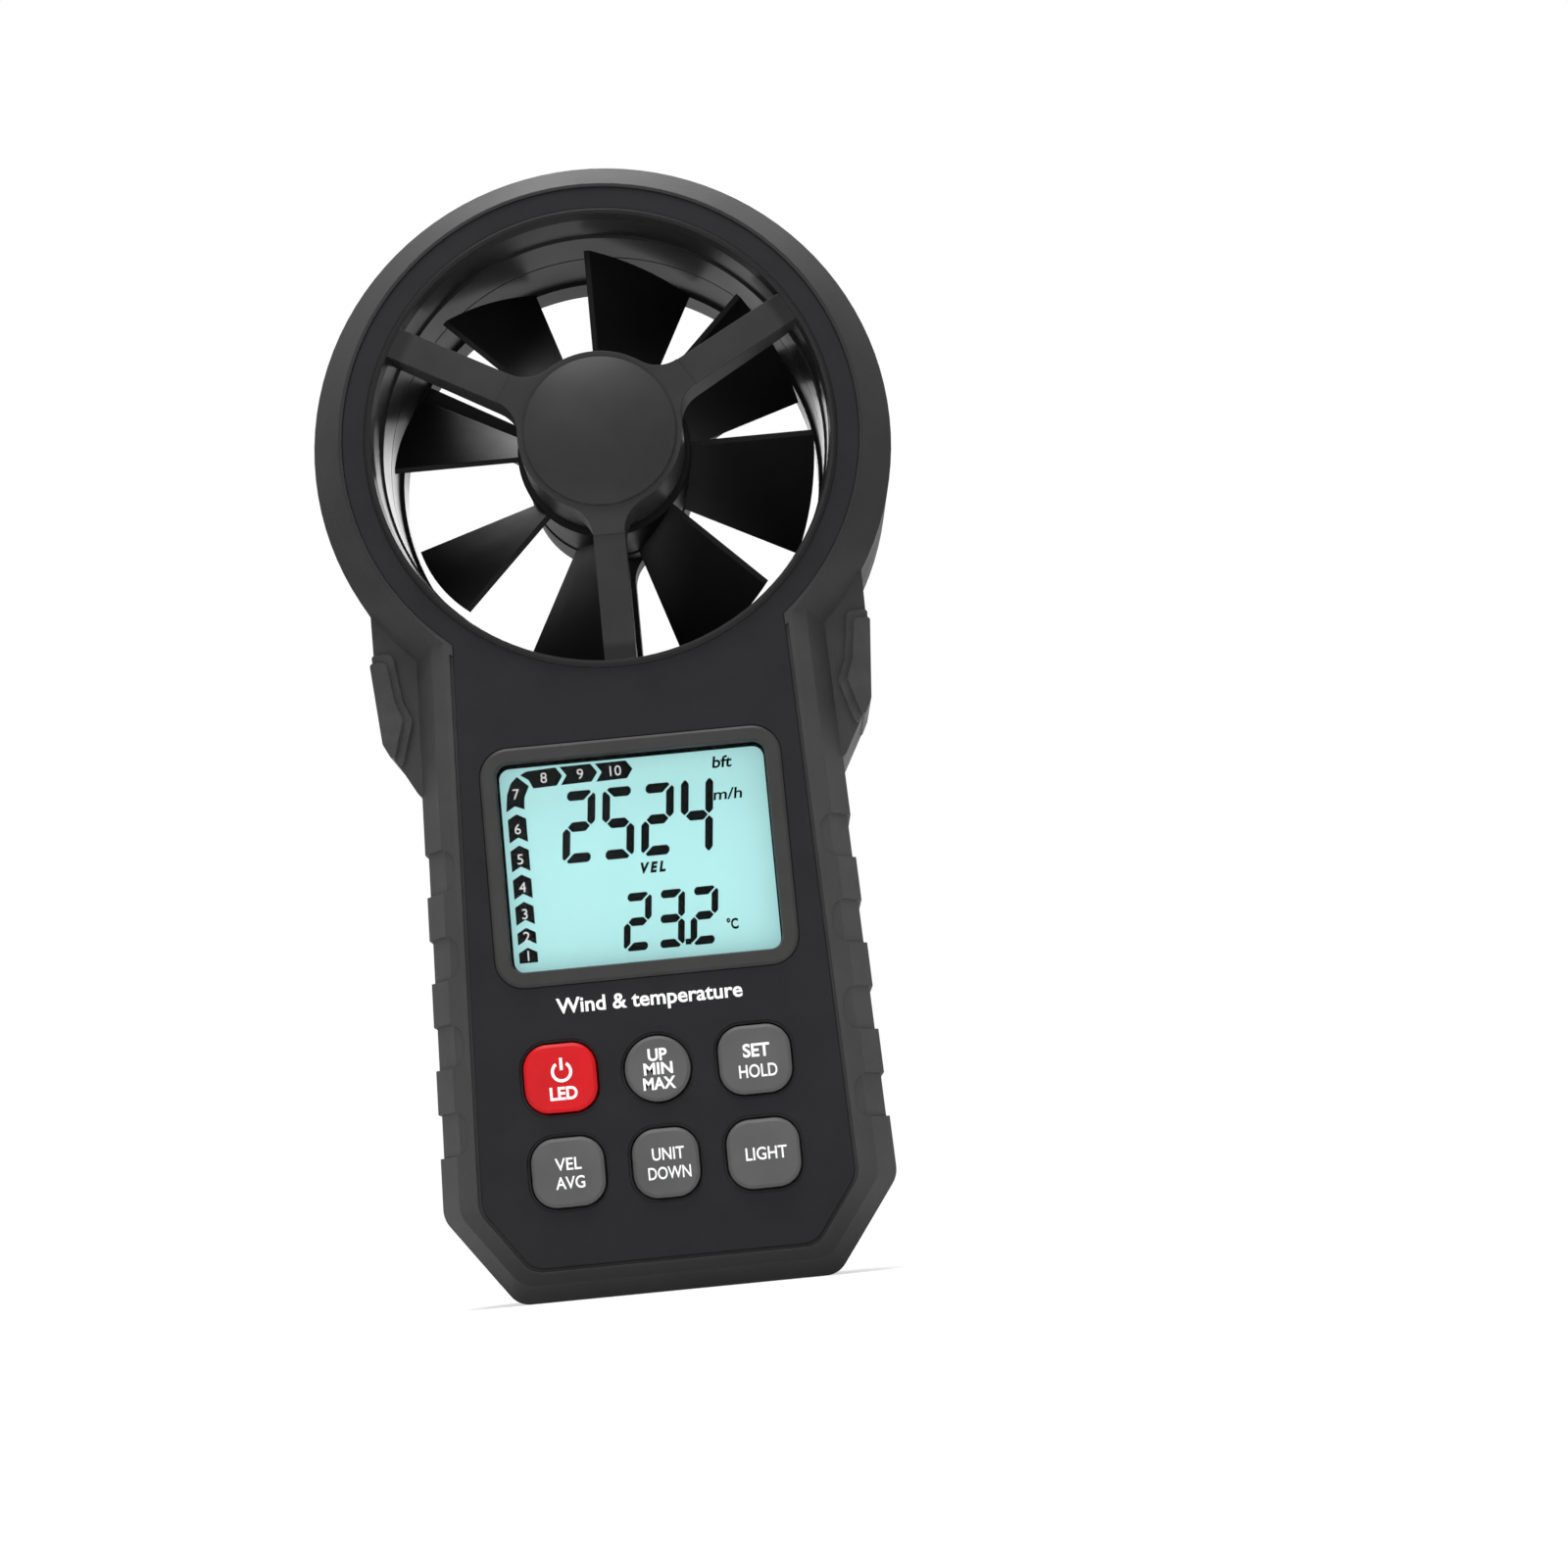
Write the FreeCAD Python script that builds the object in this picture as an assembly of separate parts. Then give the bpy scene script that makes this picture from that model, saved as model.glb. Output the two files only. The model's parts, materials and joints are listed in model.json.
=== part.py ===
import FreeCAD, Part
import math
import os

# Handheld digital vane anemometer, in millimetres.
# Frame: origin under the middle of the base, +Z up along the body to the vane ring,
# +X to the right of someone who reads the display, -Y out of the display.
#
# Build: a front and a rear shell screwed together from behind. Each clamps one half of the
# air duct, which carries a three-spoke bridge and a bearing. The vane wheel spins between
# the bridges. Behind the display are a circuit board, a keypad and a bay for three AAA cells.

Vector = FreeCAD.Vector

# ---------------------------------------------------------------- driving dimensions
# Depths (Y) of the housing
depth = 38.0                  # foremost point of the hub cap to the rear face
rear_y = depth / 2
cap_dome = 1.1                # rise of the hub cap's dome
cap_lift = 0.4                # hub cap rim in front of the bridge's hub plate
bridge_rise = 2.0             # hub plate in front of the rim round the panel
front_y = -depth / 2 + cap_dome + cap_lift + bridge_rise   # rim round the front panel
ridge_drop = 1.2              # from the rim back to the ridge between the two front facets
shoulder_drop = 5.5           # from the rim back to where the side wall starts
ridge_y = front_y + ridge_drop
shoulder_y = front_y + shoulder_drop
rear_bevel_depth = 6.0
parting_y = 2.0               # plane where the two shells and the two duct halves meet

# Outline of the body (X and Z)
bezel_half_width = 21.6       # of the display, which sets the width of the body
side_margin = 10.7            # from the bezel to the body's side, at its widest
body_half_width = bezel_half_width + side_margin
base_half_width = body_half_width - 9.6
corner_height = 13.0          # where the slanted bottom corner ends
body_taper = 1.7              # how much narrower each side is at the neck
corner_radius_low = 3.5
corner_radius_high = 4.0
ridge_insets = (2.4, 2.8, 2.6)     # slanted corner, side, base
rim_insets = (4.1, 4.8, 3.9)
panel_insets = (5.2, 6.05, 4.8)
rear_inset = 4.2
wall = 2.2
collar = 1.3                  # wall of the shells round the duct
rear_skin = 0.5               # inner bosses and ribs stop this far inside the rear face

# Vane ring
ring_radius = 42.5
ring_bevel = 4.3              # radial width of the bevel round the ring
panel_rim = 0.55              # bare rim between bevel and panel
band_width = 3.1              # panel band round the duct
panel_thickness = 0.6
panel_sink = 0.2              # panel face behind the rim
rim_groove_width = 0.5        # groove in the rim, beside the panel
rim_groove_depth = 0.5
fit_gap = 0.1                 # between pieces that are glued or clipped in
panel_gap = 0.03              # round the inlaid panel, which shows no joint

# Air duct, bridges and vane wheel
duct_wall = 1.4
throat_step = 0.35            # the duct narrows by this at each step
rear_step = 0.6
duct_seam_half = 0.18         # groove round the duct's inside, where its halves meet
duct_seam_depth = 0.5
tip_clearance = 1.45
blade_count = 8
blade_front_y = -5.9
blade_rear_y = 9.0
blade_twist = 27.6            # degrees from front edge to rear edge
blade_thickness = 0.8         # along the circumference
hub_radius = 12.9
hub_taper = 0.6
hub_wall = 1.2
bridge_hub_radius = 12.0
spoke_width = 4.6
spoke_fillet = 5.0
spoke_count = 3
front_hub_wall = 1.4
rear_hub_wall = 0.9
cap_margin = 0.95             # cap's edge inside the front hub's edge
spoke_depth = 4.6             # front spokes, at the duct wall
rear_spoke_depth = 5.0
ribbon_width = 2.4
ribbon_thickness = 0.6
ribbon_room = 0.3             # between the ribbon and its channel
hub_gap = 0.8                 # between a bridge hub and the vane wheel
shaft_radius = 0.75
shaft_clearance = 0.05
shaft_end_room = 0.6          # round the shaft's ends, behind each bearing
shaft_end_depth = 2.5
bearing_radius = 2.5
bearing_length = 2.0
bearing_seat_wall = 1.5
hub_plate = 1.6               # front wall of the front hub
sensor_board_thickness = 0.8
wheel_boss_radius = 3.2       # boss in the vane wheel's hub
wheel_web = 1.4
magnet_radius = 5.4
magnet_length = 2.4

# Temperature sensor in the duct wall
bead_radius = 0.9
bead_y = parting_y + 5.0
sensor_leg_length = 8.0

# Ears beside the neck, and the rubber grips on them
ear_stand_out = 5.4
ear_height = 29.1             # from the ear's lower end to where it runs into the ring
ear_taper_height = 7.8        # slanted lower end
ear_shelf_height = 21.4       # where the grip's seat starts
ear_lower_inset = 1.0
ear_overlap = 3.0             # how far the ear runs into the neck
ear_front_y = shoulder_y - 0.3
grip_step = 0.8               # height of each rubber terrace
grip_stand_out = 0.5
grip_rear_y = 9.5
grip_height = 16.9
grip_foot = 4.6               # from the ear's lower end to the grip
grip_rib_count = 4
grip_rib_depth = 0.45

# Finger notches down each side
notch_count = 4
notch_first_z = 24.6
notch_pitch = 12.45
notch_height = 6.2
notch_reach = 4.7
notch_depth = 0.5
notch_rear_y = 10.0

# Keys
key_row_z = 17.8
key_row_pitch = 13.2
key_column_pitch = 13.75
key_width = 10.2
key_height = 9.6
key_radius = 3.4
middle_key_width = 9.3
round_key_radius = 4.6
key_gap = 0.3
key_recess = 0.6              # the panel stands this far back from each key
key_proud = 0.9
key_edge = 0.45
key_flange = 0.8
key_flange_thickness = 0.8
key_travel = 0.8
key_stem_radius = 2.0
key_play = 0.05               # between a key's plunger and its dome at full travel
dome_radius = 2.2
dome_rise = 0.4
mat_thickness = 1.2
mat_margin = 1.0
mat_hole_gap = 0.8

# Display
title_gap = 8.3               # from the upper keys to the bezel
bezel_height = 34.5
bezel_radius = 4.2
bezel_frame = 2.3             # visible width of the bezel
bezel_proud = 0.35
bezel_slope = 0.2             # how far its inner edge leans back
bezel_chamfer = 0.4           # round its outer edge
window_radius = 1.8
window_margin = 0.9           # how far the window runs under the bezel
window_thickness = 1.6
neck_gap = 10.25              # from the bezel to the duct's lip
glass_thickness = 2.2
glass_gap = 0.1               # between the shell's face and the display's glass
backlight_thickness = 2.6
strip_width = 1.6
holder_wall = 1.2

# Circuit board
board_thickness = 1.6
board_stack = 0.6             # backlight's rear face to the board
board_corner = 0.8
board_screw_radius = 0.7
board_screw_head_radius = 1.6
board_screw_length = 2.6
post_radius = 1.7
buzzer_radius = 5.0
buzzer_height = 3.0

# Batteries and their bay
cell_radius = 5.25
cell_length = 43.7
nub_length = 0.8
nub_radius = 1.9
cell_count = 3
cell_pitch = 2 * cell_radius + 0.9
bay_floor_z = 11.8
spring_length = 3.6
spring_pitch = 0.9
spring_wire_radius = 0.3
spring_coil_radius = 3.0
plate_length = 1.6
bay_wall = 1.2
bay_clearance = 0.55
door_thickness = 2.0
door_overlap = 2.4
door_gap = 0.25
door_rim = 1.6                # the shell's ledge behind the door
door_boss_height = 1.2
door_boss_radius = 3.7
label_inset = 4.0             # from the door's side to its label
label_half_height = 15.0
label_recess = 0.3

# Fasteners and the tripod socket
boss_radius = 2.7
screw_radius = 1.1
screw_clearance = 0.2
screw_head_radius = 2.1
screw_head_height = 1.5
screw_well_depth = 8.0
screw_reach = 7.0             # housing screws in front of the parting plane
screw_pilot_depth = 9.0
door_screw_tip = 6.5          # behind the parting plane
door_screw_hole = 5.0
tripod_radius = 3.175         # 1/4 inch camera thread
insert_radius = 4.6
insert_length = 8.0
insert_boss_wall = 1.8

# ---------------------------------------------------------------- derived places
panel_y = front_y + panel_sink
panel_back_y = panel_y + panel_thickness
face_back_y = panel_back_y + wall - 0.2
ridge_radius = ring_radius - ring_bevel
band_outer_radius = ridge_radius - panel_rim
lip_radius = band_outer_radius - band_width
duct_outer_radius = lip_radius - fit_gap
throat_radius = duct_outer_radius - duct_wall
mid_radius = throat_radius - throat_step
rear_radius = mid_radius - rear_step
tip_radius = mid_radius - tip_clearance

key_rows = [key_row_z, key_row_z + key_row_pitch]
bezel_bottom = key_rows[1] + key_height / 2 + title_gap
bezel_top = bezel_bottom + bezel_height
ring_z = bezel_top + neck_gap + lip_radius
ear_top = ring_z - ring_radius + 21.5
ear_bottom = ear_top - ear_height
neck_half_width = body_half_width - body_taper
side_slope = body_taper / (ear_bottom - corner_height)

window_y = panel_back_y
window_back_y = window_y + window_thickness
glass_y = face_back_y + glass_gap
glass_back_y = glass_y + glass_thickness
backlight_back_y = glass_back_y + backlight_thickness
board_y = backlight_back_y + board_stack
board_back_y = board_y + board_thickness

bay_top_z = bay_floor_z + spring_length + cell_length + nub_length + plate_length
bay_half_width = cell_pitch * (cell_count - 1) / 2 + cell_radius + bay_clearance
door_y = rear_y - door_thickness
cell_y = door_y - bay_clearance - cell_radius
bay_y = cell_y - cell_radius - bay_clearance
door_screw_z = bay_top_z + bay_wall + door_boss_radius
door_half_width = bay_half_width + door_overlap
door_bottom = bay_floor_z - door_overlap - 0.6
door_top = door_screw_z + door_boss_radius + 0.9
tripod_z = door_top + insert_radius + insert_boss_wall + 1.6

front_hub_y = front_y - bridge_rise
front_hub_back_y = blade_front_y - 0.2 - hub_gap
rear_hub_y = blade_rear_y + hub_gap
rear_hub_back_y = rear_y - 0.8
spoke_back_y = front_y + spoke_depth
ribbon_y = spoke_back_y - ribbon_room - ribbon_thickness
sensor_board_y = front_hub_y + hub_plate
screw_seat_y = door_y - door_boss_height + 0.6   # seat of the door screw's head


def half_width(z):
    """Half the body's width at height z, on its straight side."""
    return body_half_width - side_slope * (z - corner_height)


boss_places = [
    (base_half_width - 1.7, 7.0),
    (half_width(ear_bottom - 2.5) - wall - boss_radius + 0.2, ear_bottom - 2.5),
    ((lip_radius + boss_radius) * math.sin(math.radians(30)),
     ring_z + (lip_radius + boss_radius) * math.cos(math.radians(30))),
]
board_half_width = boss_places[1][0] - boss_radius - 0.5
board_top = bezel_top + 6.6
board_bottom = 6.3
post_places = [
    (board_half_width - 3.8, board_top - 2.0),
    (board_half_width - 2.0, (key_rows[1] + key_height / 2 + bezel_bottom) / 2),
    (12.0, board_bottom + 2.2),
]


# ---------------------------------------------------------------- shape helpers
def outline(corners, y):
    """Closed wire in the plane y through (x, z, radius) corners, listed anticlockwise."""
    tangents = []
    count = len(corners)
    for i, (x, z, radius) in enumerate(corners):
        here = Vector(x, y, z)
        before = Vector(corners[i - 1][0], y, corners[i - 1][1]) - here
        after = Vector(corners[(i + 1) % count][0], y, corners[(i + 1) % count][1]) - here
        if radius <= 0:
            tangents.append((here, None, here))
            continue
        before.normalize()
        after.normalize()
        half = before.getAngle(after) / 2
        inward = before + after
        inward.normalize()
        reach = radius / math.tan(half)
        middle = here + inward * (radius / math.sin(half) - radius)
        tangents.append((here + before * reach, middle, here + after * reach))
    edges = []
    for i, (start, middle, end) in enumerate(tangents):
        if middle is not None:
            edges.append(Part.Arc(start, middle, end).toShape())
        following = tangents[(i + 1) % count][0]
        if end.distanceToPoint(following) > 1e-6:
            edges.append(Part.LineSegment(end, following).toShape())
    return Part.Wire(edges)


def inset(corners, distances):
    """The corners moved inwards: distances[i] applies to the edge from corner i to the next."""
    count = len(corners)
    moved = []
    for i, (x, z, radius) in enumerate(corners):
        lines = []
        for a, b, distance in (
            (corners[i - 1], corners[i], distances[i - 1]),
            (corners[i], corners[(i + 1) % count], distances[i]),
        ):
            dx, dz = b[0] - a[0], b[1] - a[1]
            length = math.hypot(dx, dz)
            dx, dz = dx / length, dz / length
            lines.append((a[0] - dz * distance, a[1] + dx * distance, dx, dz))
        (ax, az, adx, adz), (bx, bz, bdx, bdz) = lines
        cross = adx * bdz - adz * bdx
        along = ((bx - ax) * bdz - (bz - az) * bdx) / cross
        moved.append((ax + adx * along, az + adz * along, radius))
    return moved


def mirrored(corners):
    """A right-hand run of corners, bottom to top, closed by its mirror image."""
    return corners + [(-x, z, radius) for x, z, radius in reversed(corners)]


def rectangle(half_x, low_z, high_z, radius=0.0, middle_x=0.0):
    return [
        (middle_x - half_x, low_z, radius),
        (middle_x + half_x, low_z, radius),
        (middle_x + half_x, high_z, radius),
        (middle_x - half_x, high_z, radius),
    ]


def prism(corners, y_from, y_to):
    return Part.Face(outline(corners, y_from)).extrude(Vector(0, y_to - y_from, 0))


def loft(corners_from, y_from, corners_to, y_to):
    return Part.makeLoft([outline(corners_from, y_from), outline(corners_to, y_to)], True, True)


def cylinder(radius, y_from, y_to, x=0.0, z=0.0):
    return Part.makeCylinder(radius, y_to - y_from, Vector(x, y_from, z), Vector(0, 1, 0))


def upright(radius, z_from, z_to, x=0.0, y=0.0):
    return Part.makeCylinder(radius, z_to - z_from, Vector(x, y, z_from), Vector(0, 0, 1))


def turned(profile):
    """A (radius, y) profile turned about the duct's axis."""
    points = [Vector(radius, y, ring_z) for radius, y in profile]
    face = Part.Face(Part.makePolygon(points + points[:1]))
    return face.revolve(Vector(0, 0, ring_z), Vector(0, 1, 0), 360)


def box(x_from, x_to, y_from, y_to, z_from, z_to):
    return Part.makeBox(
        x_to - x_from, y_to - y_from, z_to - z_from, Vector(x_from, y_from, z_from)
    )


def slab(y_from, y_to):
    """Box past the whole model in X and Z, between two depths."""
    reach = 2 * ring_z
    return box(-reach, reach, y_from, y_to, -reach, reach)


def joined(shapes):
    """One shape from several that touch or overlap, with seams on one surface removed."""
    result = shapes[0].fuse(shapes[1:]) if len(shapes) > 1 else shapes[0]
    return result.removeSplitter()


def both_sides(shape):
    return [shape, shape.mirror(Vector(0, 0, 0), Vector(1, 0, 0))]


def both_x(places):
    return [(side * x, z) for x, z in places for side in (1, -1)]


def spun(shape, degrees):
    copy = shape.copy()
    copy.rotate(Vector(0, 0, ring_z), Vector(0, 1, 0), degrees)
    return copy


def export(name, shapes):
    """Writes one node, and stops if any of its solids is not sound."""
    solids = []
    for shape in shapes if isinstance(shapes, list) else [shapes]:
        solids += shape.Solids
    for solid in solids:
        if not solid.isValid() or solid.Volume <= 0:
            raise SystemExit(name + " has an unsound solid")
    node = solids[0] if len(solids) == 1 else Part.makeCompound(solids)
    node.exportStep("parts/" + name + ".step")
    print(name, len(solids), round(sum(s.Volume for s in solids), 1))


# ---------------------------------------------------------------- housing
def body_corners(insets=(0.0, 0.0, 0.0)):
    """Body outline, moved in by (slanted corner, side, base). Its top lies inside the ring."""
    top = ring_z - 0.53 * ring_radius
    corners = mirrored([
        (base_half_width, 0.0, corner_radius_low),
        (body_half_width, corner_height, corner_radius_high),
        (half_width(top), top, 0.0),
    ])
    corner, side, base = insets
    return inset(corners, [corner, side, 0.0, side, corner, base])


def ear_corners(shrink=0.0):
    """Outline of the right-hand ear between the body's neck and the ring."""
    outer = neck_half_width + ear_stand_out - shrink
    inner = neck_half_width - ear_overlap
    return [
        (inner, ear_bottom + shrink, 0.0),
        (neck_half_width + 0.1 - shrink * 0.4, ear_bottom + shrink, 2.0),
        (outer - ear_lower_inset, ear_bottom + ear_taper_height + shrink * 0.4, 2.0),
        (outer, ear_bottom + ear_shelf_height, 3.0),
        (outer, ear_top, 0.0),
        (inner, ear_top + 2.0, 0.0),
    ]


def body_form(shrink=0.0):
    """The body without the ring, moved in all round by shrink."""
    def level(insets):
        return body_corners(tuple(value + shrink for value in insets))

    flat = (0.0, 0.0, 0.0)
    rear = (rear_inset, rear_inset, rear_inset)
    bevel_start = rear_y - rear_bevel_depth
    return joined([
        loft(level(rim_insets), front_y, level(ridge_insets), ridge_y),
        loft(level(ridge_insets), ridge_y, level(flat), shoulder_y),
        prism(level(flat), shoulder_y, bevel_start),
        loft(level(flat), bevel_start, level(rear), rear_y),
    ])


def ring_form(shrink=0.0):
    radius = ring_radius - shrink
    return turned([
        (1.0, front_y),
        (ridge_radius - shrink, front_y),
        (radius, shoulder_y),
        (radius, rear_y - rear_bevel_depth),
        (radius - rear_inset, rear_y),
        (1.0, rear_y),
    ])


def ear_form(shrink=0.0):
    bevel_start = rear_y - rear_bevel_depth
    right = joined([
        prism(ear_corners(shrink), ear_front_y, bevel_start),
        loft(ear_corners(shrink), bevel_start, ear_corners(shrink + rear_inset - 0.5), rear_y - 1.0),
    ])
    return both_sides(right)


def notch_cutters():
    """Shallow finger notches that run round the side, with rounded inner corners."""
    cutters = []
    core = body_form(notch_depth)
    for i in range(notch_count):
        z = notch_first_z + i * notch_pitch
        corners = [
            (half_width(z) - notch_reach, z - notch_height / 2, 2.2),
            (half_width(z) + 4.0, z - notch_height / 2, 0.0),
            (half_width(z) + 4.0, z + notch_height / 2, 0.0),
            (half_width(z) - notch_reach, z + notch_height / 2, 2.2),
        ]
        cutters += both_sides(prism(corners, front_y - 1.0, notch_rear_y).cut(core))
    return cutters


def housing():
    """Both shells as one full form, with the bore for the duct and the notches."""
    form = joined([ring_form(), body_form()] + ear_form())
    form = form.cut(cylinder(lip_radius, front_y - 1.0, rear_y + 1.0, z=ring_z))
    return form.cut(notch_cutters())


def seam_groove():
    """A shallow groove round the outside where the shells meet."""
    half, deep = 0.25, 0.35
    kept = [body_form(deep), ring_form(deep)] + ear_form(deep)
    return slab(parting_y - half, parting_y + half).cut(kept)


def cavity(y_from, y_to):
    """Room inside the housing between two depths, outside the duct's wall."""
    room = prism(body_corners((wall, wall, wall)), y_from, y_to)
    ear = prism([
        (neck_half_width - wall - 1.0, ear_bottom + wall + 2.0, 0.0),
        (neck_half_width - wall + 0.6, ear_bottom + wall + 2.0, 0.0),
        (neck_half_width + ear_stand_out - wall, ear_bottom + wall + 8.0, 0.0),
        (neck_half_width + ear_stand_out - wall, ear_top - 1.0, 0.0),
        (neck_half_width - wall - 1.0, ear_top - 1.0, 0.0),
    ], max(y_from, ear_front_y + wall), y_to)
    slot = cylinder(ring_radius - wall, y_from, y_to, z=ring_z)
    core = cylinder(lip_radius + collar, y_from, y_to, z=ring_z)
    return joined([room, slot] + both_sides(ear)).cut(core)


def key_places():
    """Each key's name, centre and outline: rounded squares, with a round key above the middle."""
    places = []
    names = [["velocity", "unit", "light"], ["power", "minmax", "hold"]]
    for row, z in enumerate(key_rows):
        for column in range(3):
            x = (column - 1) * key_column_pitch
            if column == 1 and row == 1:
                size = (round_key_radius, round_key_radius, round_key_radius)
            elif column == 1:
                size = (middle_key_width / 2, key_height / 2, key_radius)
            else:
                size = (key_width / 2, key_height / 2, key_radius)
            places.append((names[row][column], x, z, size))
    return places


def key_prism(x, z, size, grow, y_from, y_to):
    """A key's outline, grown by a margin and extruded."""
    half_x, half_z, radius = size
    if radius == half_x == half_z:
        return cylinder(radius + grow, y_from, y_to, x, z)
    corners = rectangle(half_x + grow, z - half_z - grow, z + half_z + grow, radius + grow, x)
    return prism(corners, y_from, y_to)


def bezel_corners(frame, radius):
    return rectangle(bezel_half_width - frame, bezel_bottom + frame, bezel_top - frame, radius)


def window_corners(grow=0.0):
    return bezel_corners(bezel_frame - window_margin - grow, window_radius + window_margin)


def panel_corners(grow=0.0):
    corner, side, base = panel_insets
    return body_corners((corner - grow, side - grow, base - grow))


def panel_plate(y_from, y_to, grow=0.0):
    """The front panel's outline: a band round the duct that runs down into the body."""
    band = cylinder(band_outer_radius + grow, y_from, y_to, z=ring_z)
    return joined([band, prism(panel_corners(grow), y_from, y_to)])


def panel_openings(y_from, y_to):
    openings = [prism(bezel_corners(-fit_gap, bezel_radius), y_from, y_to)]
    for _, x, z, size in key_places():
        openings.append(key_prism(x, z, size, key_recess, y_from, y_to))
    return openings


def front_shell():
    half = housing().common(slab(front_y - 1.0, parting_y))
    hollow = joined([
        cavity(shoulder_y, parting_y),
        prism(panel_corners(0.6), face_back_y, shoulder_y + 0.1)
        .cut(cylinder(lip_radius + collar, face_back_y, shoulder_y + 0.1, z=ring_z)),
        turned([
            (lip_radius + collar, face_back_y),
            (ridge_radius - 0.2, face_back_y),
            (ring_radius - wall, shoulder_y),
            (ring_radius - wall, shoulder_y + 0.1),
            (lip_radius + collar, shoulder_y + 0.1),
        ]),
    ])
    bosses = [cylinder(boss_radius, face_back_y - 0.2, parting_y, x, z)
              for x, z in both_x(boss_places)]
    posts = [cylinder(post_radius, face_back_y - 0.2, board_y, x, z)
             for x, z in both_x(post_places)]
    shell = half.cut(hollow)
    shell = joined([shell] + [piece.common(half) for piece in bosses + posts])
    cuts = [panel_plate(front_y - 1.0, panel_back_y, panel_gap),
            prism(window_corners(fit_gap), panel_back_y - 0.1, face_back_y + 0.1),
            seam_groove(),
            rim_groove(),
            ribbon_channel(1.0),
            turned([(1.0, front_y - 1.0), (lip_radius, front_y - 1.0),
                    (lip_radius, parting_y), (1.0, parting_y)])]
    for _, x, z, size in key_places():
        cuts.append(key_prism(x, z, size, key_gap, panel_back_y - 0.1, face_back_y + 0.1))
    for x, z in both_x(boss_places):
        cuts.append(cylinder(screw_radius, parting_y - screw_pilot_depth, parting_y + 0.1, x, z))
    for x, z in both_x(post_places):
        cuts.append(cylinder(board_screw_radius, board_y - board_screw_length - 0.4,
                             board_y + 0.1, x, z))
    return shell.cut(cuts)


def rear_shell():
    half = housing().common(slab(parting_y, rear_y + 1.0))
    bevel_start = rear_y - rear_bevel_depth
    hollow = joined([
        cavity(parting_y, bevel_start),
        prism(body_corners((rear_inset + wall,) * 3), bevel_start - 0.1, rear_y - wall)
        .cut(cylinder(lip_radius + collar, bevel_start - 0.1, rear_y - wall, z=ring_z)),
        turned([
            (lip_radius + collar, bevel_start - 0.1),
            (ring_radius - wall, bevel_start - 0.1),
            (ring_radius - wall, bevel_start),
            (ring_radius - rear_inset - 1.0, rear_y - wall),
            (lip_radius + collar, rear_y - wall),
        ]),
    ])
    bay_low, bay_high = bay_floor_z, bay_top_z
    bay = box(-bay_half_width - bay_wall, bay_half_width + bay_wall,
              bay_y - bay_wall, rear_y - rear_skin, bay_low - bay_wall, bay_high + bay_wall)
    ledge = prism(door_corners(-door_rim), door_y - door_rim, rear_y - rear_skin)
    solid_parts = [bay, ledge]
    solid_parts += [cylinder(boss_radius + 0.4, parting_y, rear_y - rear_skin, x, z)
                    for x, z in both_x(boss_places)]
    solid_parts += [
        cylinder(door_boss_radius + 1.0, parting_y + 3.0, rear_y - rear_skin, 0.0, door_screw_z),
        cylinder(insert_radius + insert_boss_wall, rear_y - insert_length - 2.0,
                 rear_y - rear_skin, 0.0, tripod_z),
    ]
    shell = half.cut(hollow)
    shell = joined([shell] + [piece.common(half) for piece in solid_parts])
    cuts = [
        prism(door_corners(-door_gap), door_y, rear_y + 1.0),
        box(-bay_half_width, bay_half_width, bay_y, rear_y, bay_low, bay_high),
        cylinder(door_boss_radius + door_gap, door_y - door_boss_height - fit_gap,
                 rear_y, 0.0, door_screw_z),
        sensor_pocket(),
        seam_groove(),
        cylinder(screw_radius + 0.05, parting_y + door_screw_hole, rear_y, 0.0, door_screw_z),
        cylinder(insert_radius, rear_y - insert_length, rear_y + 1.0, 0.0, tripod_z),
        turned([(1.0, parting_y), (lip_radius, parting_y),
                (lip_radius, rear_y + 1.0), (1.0, rear_y + 1.0)]),
    ]
    well_floor = rear_y - screw_well_depth
    for x, z in both_x(boss_places):
        cuts.append(cylinder(screw_radius + screw_clearance, parting_y - 0.1, rear_y, x, z))
        cuts.append(cylinder(screw_head_radius + screw_clearance, well_floor, rear_y + 1.0, x, z))
    return shell.cut(cuts)


def rim_groove():
    """Groove that follows the panel's edge down the body's rim and along its base."""
    wide = prism(panel_corners(rim_groove_width), front_y - 1.0, front_y + rim_groove_depth)
    return wide.cut([
        prism(panel_corners(), front_y - 2.0, front_y + 1.0),
        cylinder(ridge_radius + 0.8, front_y - 2.0, front_y + 1.0, z=ring_z),
    ])


def front_panel():
    plate = panel_plate(panel_y, panel_back_y)
    hole = cylinder(duct_outer_radius + panel_gap, panel_y - 1.0, panel_back_y + 1.0, z=ring_z)
    return plate.cut([hole] + panel_openings(panel_y - 1.0, panel_back_y + 1.0))


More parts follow.
